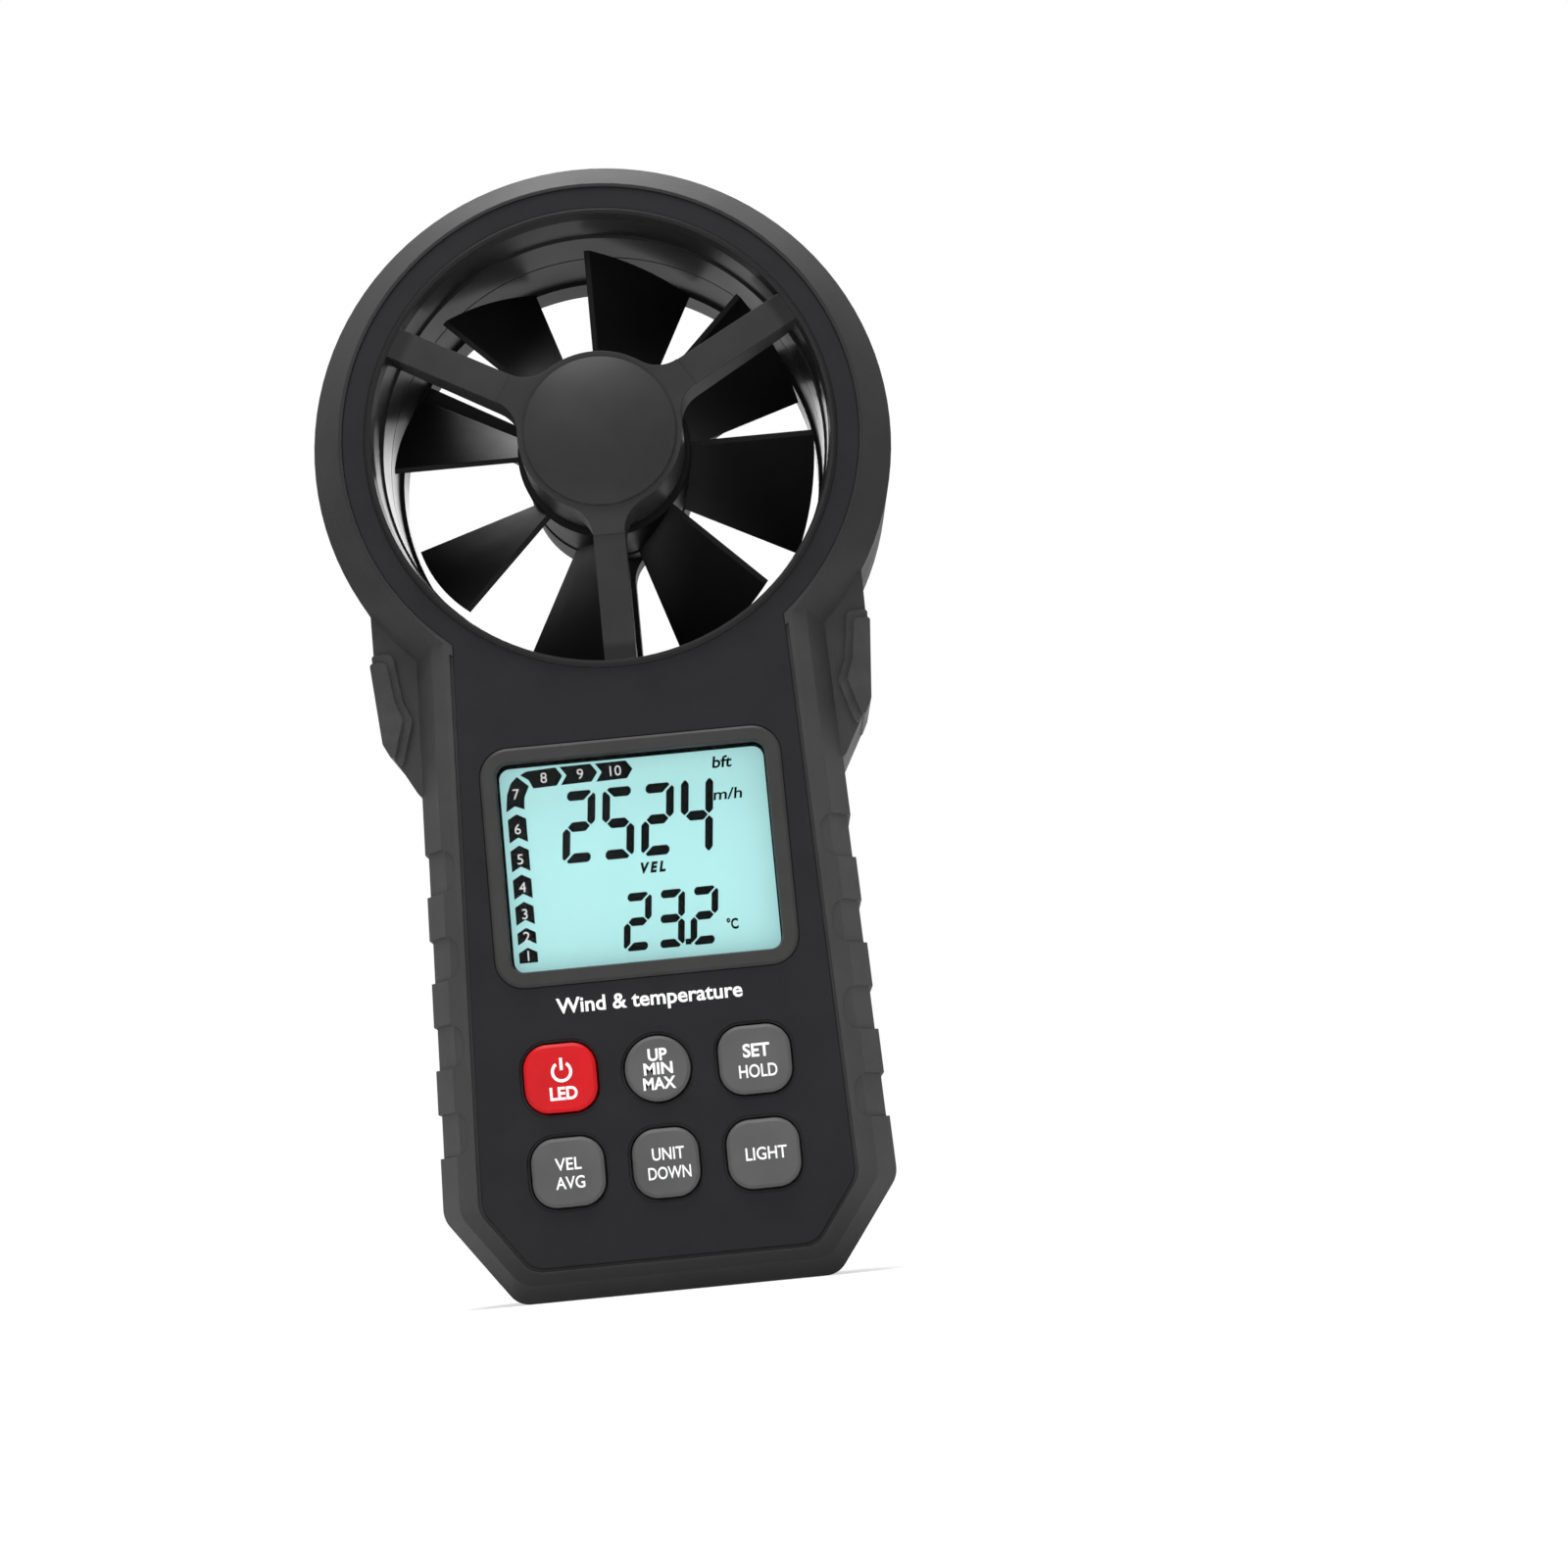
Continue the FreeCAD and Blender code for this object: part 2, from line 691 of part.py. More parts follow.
def ear_grip():
    """Right-hand rubber grip: two zigzag terraces that lap over the ear's front and side."""
    outer = neck_half_width + ear_stand_out
    foot = ear_bottom + grip_foot
    top = foot + grip_height

    def terrace(step):
        """Each terrace stands a little further out, inside the outline of the one below."""
        edge = outer + grip_stand_out * (step + 1) / 2
        return [
            (outer - 3.0 + 1.1 * step, foot + 0.8 * step, 0.4),
            (edge - ear_lower_inset, foot + 3.2 + 0.4 * step, 1.2),
            (edge, top - 1.3 * step, 0.5),
            (outer - 2.8 + 0.9 * step, top - 1.3 * step, 0.8),
            (outer - 3.7 + 1.1 * step, top - 7.0, 0.3),
            (outer - 5.0 + 1.3 * step, top - 10.0, 0.3),
        ]

    low = prism(terrace(0), ear_front_y - grip_step, grip_rear_y)
    high = prism(terrace(1), ear_front_y - 2 * grip_step, grip_rear_y - 1.5)
    ribs = []
    for i in range(grip_rib_count):
        z = top - 4.0 - i * 2.6
        ribs.append(box(outer + grip_stand_out - grip_rib_depth, outer + 2.0,
                        ear_front_y + 1.5, grip_rear_y - 3.0, z - 0.5, z + 0.5))
    return joined([low, high]).cut([ear_form()[0], body_form(), ring_form()] + ribs)


# ---------------------------------------------------------------- air duct and vane wheel
def spoke(y_front_hub, y_front_rim, y_back):
    """A spoke pointing down, with its front sloping from the hub to the ring."""
    reach = duct_outer_radius - 0.4
    half = spoke_width / 2
    side = Part.makePolygon([
        Vector(-half, y_front_hub, ring_z - bridge_hub_radius + 3.0),
        Vector(-half, y_front_hub, ring_z - bridge_hub_radius),
        Vector(-half, y_front_rim, ring_z - reach),
        Vector(-half, y_back, ring_z - reach),
        Vector(-half, y_back, ring_z - bridge_hub_radius + 3.0),
        Vector(-half, y_front_hub, ring_z - bridge_hub_radius + 3.0),
    ])
    return Part.Face(side).extrude(Vector(spoke_width, 0, 0))


def spoke_root(y_from, y_to, hub):
    """Two concave webs that blend a downward spoke into the hub."""
    half, fillet = spoke_width / 2, spoke_fillet
    centre_x = half + fillet
    drop = math.sqrt((hub + fillet) ** 2 - centre_x ** 2)
    touch = hub / (hub + fillet)
    fill = [
        Vector(0, y_from, ring_z),
        Vector(centre_x * touch, y_from, ring_z - drop * touch),
        Vector(centre_x, y_from, ring_z - drop),
        Vector(half, y_from, ring_z - drop),
        Vector(0, y_from, ring_z - drop),
    ]
    web = Part.Face(Part.makePolygon(fill + fill[:1])).extrude(Vector(0, y_to - y_from, 0))
    bite = cylinder(fillet, y_from - 1.0, y_to + 1.0, centre_x, ring_z - drop)
    return both_sides(web.cut(bite))


def bridge(y_hub, y_rim, y_hub_back, y_spoke_back, hub):
    """Hub and three spokes, before its bearing seat is cut."""
    pieces = [cylinder(hub, min(y_hub, y_hub_back), max(y_hub, y_hub_back), z=ring_z)]
    for i in range(spoke_count):
        for piece in [spoke(y_hub, y_rim, y_spoke_back)] + spoke_root(
                min(y_hub, y_spoke_back), max(y_hub, y_spoke_back), hub):
            pieces.append(spun(piece, i * 360.0 / spoke_count))
    return joined(pieces)


def front_duct():
    lip_y = front_y - 0.35
    liner = turned([
        (duct_outer_radius, panel_back_y),
        (duct_outer_radius, lip_y + 0.5),
        (duct_outer_radius - 0.45, lip_y),
        (duct_outer_radius - 0.95, lip_y + 0.15),
        (throat_radius + 0.15, front_y + 1.6),
        (throat_radius, front_y + 8.0),
        (mid_radius, front_y + 8.4),
        (mid_radius, parting_y - duct_seam_half),
        (mid_radius + duct_seam_depth, parting_y - duct_seam_half),
        (mid_radius + duct_seam_depth, parting_y),
        (duct_outer_radius, parting_y),
    ])
    core = bridge(front_hub_y, front_y - 0.1, front_hub_back_y, spoke_back_y, bridge_hub_radius)
    spokes_room = cylinder(duct_outer_radius - 0.3, front_hub_y - 1.0, parting_y, z=ring_z)
    body = joined([liner, core.common(spokes_room)])
    seat_y = front_hub_back_y - bearing_length
    hub_room = cylinder(bridge_hub_radius - front_hub_wall, sensor_board_y,
                        front_hub_back_y + 0.1, z=ring_z).cut(
        cylinder(bearing_radius + bearing_seat_wall, front_hub_y, front_hub_back_y + 1.0, z=ring_z))
    return body.cut([
        hub_room,
        cylinder(bearing_radius, seat_y, front_hub_back_y + 0.1, z=ring_z),
        cylinder(shaft_radius + shaft_end_room, seat_y - shaft_end_depth, seat_y + 0.1, z=ring_z),
        ribbon_channel(),
    ])


def ribbon_channel(below=0.0):
    """Slot behind the lower spoke for the sensor ribbon, from the hub through the duct wall."""
    half = ribbon_width / 2 + ribbon_room
    return box(-half, half, ribbon_y - ribbon_room, spoke_back_y + 0.1,
               ring_z - lip_radius - duct_wall - below, ring_z - bridge_hub_radius + 2.0)


def rear_duct():
    liner = turned([
        (duct_outer_radius, parting_y),
        (mid_radius + duct_seam_depth, parting_y),
        (mid_radius + duct_seam_depth, parting_y + duct_seam_half),
        (mid_radius, parting_y + duct_seam_half),
        (mid_radius, parting_y + 10.0),
        (rear_radius, parting_y + 10.5),
        (rear_radius, rear_y - 0.6),
        (rear_radius + 0.6, rear_y),
        (duct_outer_radius, rear_y),
    ])
    core = bridge(rear_hub_back_y, rear_y - 0.6, rear_hub_y, rear_y - 0.6 - rear_spoke_depth,
                  bridge_hub_radius + 0.5)
    spokes_room = cylinder(duct_outer_radius - 0.3, parting_y, rear_y + 1.0, z=ring_z)
    body = joined([liner, core.common(spokes_room)])
    hub_room = cylinder(bridge_hub_radius - rear_hub_wall, rear_hub_y - 0.1,
                        rear_hub_back_y - hub_plate, z=ring_z).cut(
        cylinder(bearing_radius + bearing_seat_wall, rear_hub_y - 1.0, rear_hub_back_y, z=ring_z))
    seat_back = rear_hub_y + bearing_length
    return body.cut([
        hub_room,
        sensor_pocket(),
        cylinder(bearing_radius, rear_hub_y - 0.1, seat_back, z=ring_z),
        cylinder(shaft_radius + shaft_end_room, seat_back - 0.1,
                 seat_back + shaft_end_depth, z=ring_z),
    ])


def hub_cap():
    """Domed disc that closes the front hub, with a spigot glued into its plate."""
    radius = bridge_hub_radius - cap_margin
    rim_y = front_hub_y - cap_lift
    sphere = (radius ** 2 + cap_dome ** 2) / (2 * cap_dome)
    dome = Part.makeSphere(sphere, Vector(0, rim_y - cap_dome + sphere, ring_z))
    dome = dome.common(cylinder(radius, rim_y - cap_dome - 1.0, rim_y, z=ring_z))
    return joined([dome, cylinder(radius, rim_y, front_hub_y, z=ring_z)])


def blade():
    """One blade, from its straight front edge to its rear edge turned clockwise."""
    def section(y, degrees):
        angle = math.radians(degrees)
        along = Vector(math.cos(angle), 0, math.sin(angle))
        across = Vector(-math.sin(angle), 0, math.cos(angle)) * (blade_thickness / 2)
        centre = Vector(0, y, ring_z)
        near, far = along * (hub_radius - hub_taper - 0.9), along * (tip_radius + 4.0)
        points = [centre + near - across, centre + far - across,
                  centre + far + across, centre + near + across]
        return Part.makePolygon(points + points[:1])

    sheet = Part.makeLoft(
        [section(blade_front_y, 0.0), section(blade_rear_y, -blade_twist)], True, True)
    return sheet.common(cylinder(tip_radius, blade_front_y, blade_rear_y, z=ring_z))


def impeller():
    """Vane wheel: a cup-shaped hub with a web and a boss, and its blades, moulded as one."""
    front, rear = blade_front_y - 0.2, blade_rear_y
    web_y = (front + rear) / 2
    hub = turned([
        (shaft_radius, front + 0.5),
        (wheel_boss_radius, front + 0.5),
        (wheel_boss_radius, web_y - wheel_web / 2),
        (hub_radius - hub_wall - 0.3, web_y - wheel_web / 2),
        (hub_radius - hub_wall, front),
        (hub_radius - 0.3, front),
        (hub_radius, front + 0.3),
        (hub_radius - hub_taper, rear),
        (hub_radius - hub_taper - hub_wall, rear),
        (hub_radius - hub_taper - hub_wall, web_y + wheel_web / 2),
        (wheel_boss_radius, web_y + wheel_web / 2),
        (wheel_boss_radius, rear - 0.5),
        (shaft_radius, rear - 0.5),
    ])
    blades = [spun(blade(), i * 360.0 / blade_count) for i in range(blade_count)]
    return joined([hub] + blades)


def rotor_shaft():
    start = front_hub_back_y - bearing_length - 0.6
    end = rear_hub_y + bearing_length + 0.6
    pin = cylinder(shaft_radius, start, end, z=ring_z)
    collars = [cylinder(shaft_radius + 0.7, blade_front_y - 0.35, blade_front_y + 0.3, z=ring_z),
               cylinder(shaft_radius + 0.7, blade_rear_y - 0.5, blade_rear_y + 0.15, z=ring_z)]
    return joined([pin] + collars)


def bearing(y_from):
    """Flanged bush whose bore runs on the shaft."""
    bush = cylinder(bearing_radius, y_from, y_from + bearing_length, z=ring_z)
    return bush.cut(cylinder(shaft_radius + shaft_clearance, y_from - 1.0,
                             y_from + bearing_length + 1.0, z=ring_z))


def magnet_ring():
    """Multipole magnet pressed round the vane wheel's boss."""
    start = blade_front_y + 1.6
    ring = cylinder(magnet_radius, start, start + magnet_length, z=ring_z)
    return ring.cut(cylinder(wheel_boss_radius, start - 1.0, start + magnet_length + 1.0, z=ring_z))


def sensor_board():
    back = sensor_board_y + sensor_board_thickness
    disc = cylinder(bridge_hub_radius - front_hub_wall - fit_gap, sensor_board_y, back, z=ring_z)
    return disc.cut(cylinder(bearing_radius + bearing_seat_wall + fit_gap,
                             sensor_board_y - 1.0, back + 1.0, z=ring_z))


def hall_sensor():
    y = sensor_board_y + sensor_board_thickness
    return box(-2.0, 2.0, y, y + 1.4, ring_z + 5.0, ring_z + 8.2)


def sensor_ribbon():
    """Flat ribbon from the hub's board down the lower spoke to the main board."""
    half = ribbon_width / 2
    ribbon_back_y = ribbon_y + ribbon_thickness
    hub_end = ring_z - bearing_radius - bearing_seat_wall - 1.4
    return joined([
        box(-half, half, ribbon_y, ribbon_back_y, board_top - 3.0, hub_end),
        box(-half, half, sensor_board_y + sensor_board_thickness, ribbon_y, hub_end - 1.2, hub_end),
        box(-half, half, ribbon_back_y, board_y, board_top - 3.0, board_top - 1.0),
    ])


# ---------------------------------------------------------------- display and keys
def window_bezel():
    """Frame round the window, with a chamfer outside and a leaning edge inside."""
    front = panel_y - bezel_proud
    outer = joined([
        prism(bezel_corners(0.0, bezel_radius), panel_y, panel_back_y),
        loft(bezel_corners(bezel_chamfer, bezel_radius - bezel_chamfer), front,
             bezel_corners(0.0, bezel_radius), panel_y),
    ])
    slope = loft(bezel_corners(bezel_frame - bezel_slope, window_radius + bezel_slope * 0.7),
                 front - 0.01, bezel_corners(bezel_frame, window_radius), panel_back_y + 0.01)
    return outer.cut(slope)


def display_window():
    return prism(window_corners(), window_y, window_back_y)


def display_glass():
    half = bezel_half_width - 0.9
    front_plate = box(-half, half, glass_y, glass_y + glass_thickness / 2,
                      bezel_bottom - 0.2 + strip_width, bezel_top + 0.2 - strip_width)
    rear_plate = box(-half, half, glass_y + glass_thickness / 2, glass_back_y,
                     bezel_bottom - 0.2, bezel_top + 0.2)
    return joined([front_plate, rear_plate])


def backlight():
    half = bezel_half_width - 1.2
    return box(-half, half, glass_back_y, backlight_back_y,
               bezel_bottom + strip_width + 0.6, bezel_top - strip_width - 0.6)


def contact_strips():
    """Two rubber strips that join the glass to the board."""
    half = bezel_half_width - 1.6
    low = box(-half, half, glass_back_y, board_y, bezel_bottom + 0.1, bezel_bottom + 0.1 + strip_width)
    high = box(-half, half, glass_back_y, board_y, bezel_top - 0.1 - strip_width, bezel_top - 0.1)
    return [low, high]


def display_holder():
    """Frame that keeps glass, backlight and strips in line on the board."""
    inner_half = bezel_half_width - 0.8
    outer = rectangle(inner_half + holder_wall, bezel_bottom - 0.3 - holder_wall,
                      bezel_top + 0.3 + holder_wall, 1.0)
    inner = rectangle(inner_half, bezel_bottom - 0.3, bezel_top + 0.3)
    frame = prism(outer, glass_y, board_y).cut(prism(inner, glass_y - 1.0, board_y + 1.0))
    return frame


def key(x, z, size):
    """Key with a softened edge, a flange behind the shell and a plunger."""
    top = panel_y - key_proud
    flange_y = face_back_y + 0.1
    flange_back = flange_y + key_flange_thickness
    half_x, half_z, radius = size
    cap = key_prism(x, z, size, 0.0, top + key_edge, flange_y)
    if radius == half_x == half_z:
        crown = Part.makeCone(radius - key_edge, radius, key_edge,
                              Vector(x, top, z), Vector(0, 1, 0))
    else:
        crown = loft(
            rectangle(half_x - key_edge, z - half_z + key_edge, z + half_z - key_edge,
                      radius - key_edge, x), top,
            rectangle(half_x, z - half_z, z + half_z, radius, x), top + key_edge)
    flange = key_prism(x, z, size, key_flange, flange_y, flange_back)
    stem_end = board_y - dome_rise - key_travel - 2 * key_play
    stem = cylinder(key_stem_radius, flange_back, stem_end, x, z)
    return joined([cap, crown, flange, stem])


def keypad_mat():
    """Silicone sheet on the board that the plungers pass through."""
    low = key_rows[0] - key_height / 2 - mat_margin
    high = key_rows[1] + key_height / 2 + mat_margin
    half = key_column_pitch + key_width / 2 + mat_margin
    sheet = prism(rectangle(half, low, high, 2.0), board_y - mat_thickness, board_y)
    holes = [cylinder(key_stem_radius + mat_hole_gap, board_y - 2.0, board_y + 1.0, x, z)
             for _, x, z, _ in key_places()]
    return sheet.cut(holes)


def snap_domes():
    """Metal snap dome on the board under each plunger."""
    domes = []
    sphere_radius = (dome_radius ** 2 + dome_rise ** 2) / (2 * dome_rise)
    for _, x, z, _ in key_places():
        ball = Part.makeSphere(sphere_radius, Vector(x, board_y - dome_rise + sphere_radius, z))
        domes.append(ball.common(cylinder(dome_radius, board_y - 1.0, board_y, x, z)))
    return domes


# ---------------------------------------------------------------- electronics
def main_board():
    corners = mirrored([
        (board_half_width - 9.2, board_bottom, board_corner),
        (board_half_width, board_bottom + 9.2, board_corner),
        (board_half_width, board_top, board_corner),
    ])
    holes = [cylinder(1.0, board_y - 1.0, board_back_y + 1.0, x, z)
             for x, z in both_x(post_places)]
    return prism(corners, board_y, board_back_y).cut(holes)


def board_screws():
    screws = []
    for x, z in both_x(post_places):
        head = cylinder(board_screw_head_radius, board_back_y, board_back_y + 1.0, x, z)
        slot = box(x - 0.9, x + 0.9, board_back_y + 0.6, board_back_y + 1.1, z - 0.2, z + 0.2)
        stem = cylinder(board_screw_radius, board_y - board_screw_length, board_back_y, x, z)
        screws.append(joined([head, stem]).cut(slot))
    return screws


def board_chips():
    """Controller, amplifier, regulator, crystal and capacitors on the board's rear."""
    y = board_back_y
    middle = (bezel_bottom + bezel_top) / 2
    chips = [
        box(-5.0, 5.0, y, y + 1.4, middle - 5.0, middle + 5.0),
        box(9.0, 14.0, y, y + 1.5, middle - 2.0, middle + 2.0),
        box(-14.0, -10.5, y, y + 1.2, middle + 3.0, middle + 6.0),
        box(-15.0, -9.0, y, y + 1.8, middle - 6.0, middle - 3.6),
    ]
    for i in range(4):
        chips.append(box(8.0 + 2.6 * i, 9.2 + 2.6 * i, y, y + 0.8, middle - 8.0, middle - 6.0))
    return chips


def buzzer():
    x, z = board_half_width - buzzer_radius - 3.5, bezel_top - 4.0
    top = board_back_y + buzzer_height
    can = cylinder(buzzer_radius, board_back_y, top, x, z)
    return can.cut(cylinder(0.8, top - 1.0, top + 1.0, x, z))


def sensor_pocket():
    """Vent through the duct wall and the shell's collar, for the temperature sensor."""
    return upright(bead_radius + 0.25, ring_z - lip_radius - duct_wall - 0.6, ring_z - mid_radius + 1.0,
                   0.0, bead_y)


def temperature_sensor():
    """Thermistor bead on two legs in a vent of the duct's wall, open to the air stream."""
    z = ring_z - duct_outer_radius
    bead = upright(bead_radius, z - bead_radius, z + bead_radius, 0.0, bead_y)
    bead = bead.makeFillet(0.4 * bead_radius, [bead.Edges[0], bead.Edges[2]])
    legs = [box(side * 0.4 - 0.15, side * 0.4 + 0.15, bead_y - 0.15, bead_y + 0.15,
                z - sensor_leg_length, z - bead_radius) for side in (1, -1)]
    return joined([bead] + legs)


# ---------------------------------------------------------------- batteries
def cell_columns():
    """X of each cell, and whether its positive end is up."""
    first = -cell_pitch * (cell_count - 1) / 2
    return [(first + i * cell_pitch, i % 2 == 0) for i in range(cell_count)]


def cell(x, plus_up):
    low = bay_floor_z + (spring_length if plus_up else plate_length + nub_length)
    body = upright(cell_radius, low, low + cell_length, x, cell_y)
    body = body.makeFillet(0.5, [e for e in body.Edges if e.Curve.TypeId == "Part::GeomCircle"])
    nub_low = low + cell_length if plus_up else low - nub_length
    return joined([body, upright(nub_radius, nub_low, nub_low + nub_length, x, cell_y)])


def contact_springs():
    """Coil spring at each cell's negative end."""
    springs = []
    line = Part.makeLongHelix(spring_pitch, spring_length - 2 * spring_wire_radius, spring_coil_radius)
    wire_end = Part.Circle(Vector(spring_coil_radius, 0, 0), Vector(0, 1, 0), spring_wire_radius)
    for x, plus_up in cell_columns():
        low = bay_floor_z if plus_up else bay_top_z - spring_length
        coil = Part.Wire(line.Edges).makePipeShell([Part.Wire(wire_end.toShape())], True, True)
        coil.translate(Vector(x, cell_y, low + spring_wire_radius))
        springs.append(coil)
    return springs


def contact_plates():
    """Pressed plate with a raised pip at each cell's positive end."""
    plates = []
    sheet = 0.4
    for x, plus_up in cell_columns():
        low = bay_top_z - plate_length if plus_up else bay_floor_z
        back = low + plate_length - sheet if plus_up else low
        plate = box(x - 4.0, x + 4.0, cell_y - 4.0, cell_y + 4.0, back, back + sheet)
        pip = upright(1.6, low, low + plate_length, x, cell_y)
        plates.append(joined([plate, pip]))
    return plates


def door_corners(shrink=0.0):
    return rectangle(door_half_width - shrink, door_bottom + shrink, door_top - shrink, 3.0)


def battery_door():
    """Flat cover with a thumb grip, a screw boss and two ribs that hold the cells down."""
    plate = prism(door_corners(), door_y, rear_y)
    ribs = [box(-bay_half_width + 1.0, bay_half_width - 1.0, door_y - 0.35, door_y, z, z + 1.2)
            for z in (bay_floor_z + 14.0, bay_top_z - 14.0)]
    ribs.append(cylinder(door_boss_radius, door_y - door_boss_height, door_y, 0.0, door_screw_z))
    hole = cylinder(screw_radius + screw_clearance, door_y - 2.0, rear_y + 1.0, 0.0, door_screw_z)
    well = cylinder(screw_head_radius + screw_clearance, screw_seat_y, rear_y + 1.0, 0.0, door_screw_z)
    scoops = [box(-6.0, 6.0, rear_y - 0.5, rear_y + 1.0, door_bottom + 4.0 + 2.2 * i,
                  door_bottom + 5.2 + 2.2 * i) for i in range(4)]
    label = prism(label_corners(-fit_gap), rear_y - label_recess, rear_y + 1.0)
    return joined([plate] + ribs).cut([hole, well, label] + scoops)


def label_corners(shrink=0.0):
    middle = (bay_floor_z + bay_top_z) / 2 + 4.0
    return rectangle(door_half_width - label_inset - shrink, middle - label_half_height + shrink,
                     middle + label_half_height - shrink, 1.5)


def door_label():
    return prism(label_corners(), rear_y - label_recess, rear_y - 0.05)


def cross_slot(x, z, y_top):
    """Cutter for a cross recess in a screw head whose top is at y_top."""
    bars = [box(x - 1.1, x + 1.1, y_top - 0.7, y_top + 0.1, z - 0.25, z + 0.25),
            box(x - 0.25, x + 0.25, y_top - 0.7, y_top + 0.1, z - 1.1, z + 1.1)]
    return joined(bars)


def screw(x, z, head_y, tip_y):
    """Pan-head screw driven from behind: its head's flat seat is at head_y."""
    head = cylinder(screw_head_radius, head_y, head_y + screw_head_height, x, z)
    outer = [e for e in head.Edges if abs(e.BoundBox.YMin - head_y - screw_head_height) < 1e-6]
    head = head.makeFillet(0.5, outer[:1])
    stem = cylinder(screw_radius, tip_y, head_y, x, z)
    return joined([head, stem]).cut(cross_slot(x, z, head_y + screw_head_height))


def housing_screws():
    well_floor = rear_y - screw_well_depth
    return [screw(x, z, well_floor, parting_y - screw_reach) for x, z in both_x(boss_places)]


def door_screw():
    return screw(0.0, door_screw_z, screw_seat_y, parting_y + door_screw_tip)


def tripod_insert():
    """Brass bush with a camera thread's bore, knurled by a ring of shallow grooves."""
    start = rear_y - insert_length
    bush = cylinder(insert_radius, start, rear_y - 0.1, 0.0, tripod_z)
    grooves = []
    for y in (start + 2.2, start + 4.8):
        grooves.append(cylinder(insert_radius + 1.0, y, y + 0.8, 0.0, tripod_z).cut(
            cylinder(insert_radius - 0.5, y - 1.0, y + 2.0, 0.0, tripod_z)))
    return bush.cut(grooves + [cylinder(tripod_radius, start - 1.0, rear_y + 1.0, 0.0, tripod_z)])


# ---------------------------------------------------------------- build
def build():
    os.makedirs("parts", exist_ok=True)
    grip = ear_grip()
    right_grip, left_grip = both_sides(grip)
    nodes = {
        "front_shell": front_shell(),
        "rear_shell": rear_shell(),
        "front_panel": front_panel(),
        "left_grip": left_grip,
        "right_grip": right_grip,
        "front_duct": front_duct(),
        "rear_duct": rear_duct(),
        "hub_cap": hub_cap(),
        "impeller": impeller(),
        "rotor_shaft": rotor_shaft(),
        "front_bearing": bearing(front_hub_back_y - bearing_length),
        "rear_bearing": bearing(rear_hub_y),
        "magnet_ring": magnet_ring(),
        "sensor_board": sensor_board(),
        "hall_sensor": hall_sensor(),
        "sensor_ribbon": sensor_ribbon(),
        "temperature_sensor": temperature_sensor(),
        "window_bezel": window_bezel(),
        "display_window": display_window(),
        "display_glass": display_glass(),
        "backlight": backlight(),
        "contact_strips": contact_strips(),
        "display_holder": display_holder(),
        "keypad_mat": keypad_mat(),
        "snap_domes": snap_domes(),
        "main_board": main_board(),
        "board_screws": board_screws(),
        "board_chips": board_chips(),
        "buzzer": buzzer(),
        "contact_springs": contact_springs(),
        "contact_plates": contact_plates(),
        "battery_door": battery_door(),
        "door_label": door_label(),
        "door_screw": door_screw(),
        "housing_screws": housing_screws(),
        "tripod_insert": tripod_insert(),
    }
    for name, x, z, size in key_places():
        nodes[name + "_key"] = key(x, z, size)
    for i, (x, plus_up) in enumerate(cell_columns()):
        nodes["battery_" + str(i + 1)] = cell(x, plus_up)
    for name, shape in nodes.items():
        export(name, shape)
    print("ring centre height", round(ring_z, 3), "overall height", round(ring_z + ring_radius, 3))


build()
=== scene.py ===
import json
import math

import bpy
from mathutils import Matrix, Vector


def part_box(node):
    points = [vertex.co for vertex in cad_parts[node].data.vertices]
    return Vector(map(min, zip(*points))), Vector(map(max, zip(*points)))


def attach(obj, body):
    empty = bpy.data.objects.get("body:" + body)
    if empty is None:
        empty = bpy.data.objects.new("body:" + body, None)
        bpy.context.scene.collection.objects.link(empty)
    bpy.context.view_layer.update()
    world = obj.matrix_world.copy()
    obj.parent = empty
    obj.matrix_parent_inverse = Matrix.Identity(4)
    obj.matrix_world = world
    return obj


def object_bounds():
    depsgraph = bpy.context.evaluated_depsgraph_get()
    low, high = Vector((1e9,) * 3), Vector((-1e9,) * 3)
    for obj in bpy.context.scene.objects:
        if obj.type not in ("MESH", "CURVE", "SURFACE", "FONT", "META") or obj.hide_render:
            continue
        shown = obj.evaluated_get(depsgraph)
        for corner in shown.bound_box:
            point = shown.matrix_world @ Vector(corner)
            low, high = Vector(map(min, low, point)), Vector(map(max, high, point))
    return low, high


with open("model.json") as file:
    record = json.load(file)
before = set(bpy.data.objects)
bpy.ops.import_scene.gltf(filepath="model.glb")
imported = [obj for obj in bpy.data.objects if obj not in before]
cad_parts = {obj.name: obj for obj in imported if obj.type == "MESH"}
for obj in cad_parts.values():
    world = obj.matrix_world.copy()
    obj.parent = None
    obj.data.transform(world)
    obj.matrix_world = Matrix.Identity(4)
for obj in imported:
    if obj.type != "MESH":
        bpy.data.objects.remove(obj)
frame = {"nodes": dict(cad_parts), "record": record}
cad_low, cad_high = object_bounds()
nodes = frame["nodes"]

MM = 0.001


# ---------------------------------------------------------------- places, from the frame
def middle(node):
    low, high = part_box(node)
    return (low + high) / 2


def front_of(node):
    """The Y of a node's foremost point."""
    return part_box(node)[0].y


bezel_low, bezel_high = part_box("window_bezel")
tip_radius = (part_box("impeller")[1].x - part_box("impeller")[0].x) / 2

KEYS = {
    "power_key": "power_button",
    "minmax_key": "minmax_button",
    "hold_key": "hold_button",
    "velocity_key": "velocity_button",
    "unit_key": "unit_button",
    "light_key": "light_button",
}


# ---------------------------------------------------------------- material nodes
# Noises that several materials share: how many to the metre, and their detail.
MOTTLE = (140.0, 4.0)
SMUDGE = (60.0, 5.0)
MOULD_GRAIN = (2600.0, 2.0)
INK_GRAIN = (2500.0, 2.0)


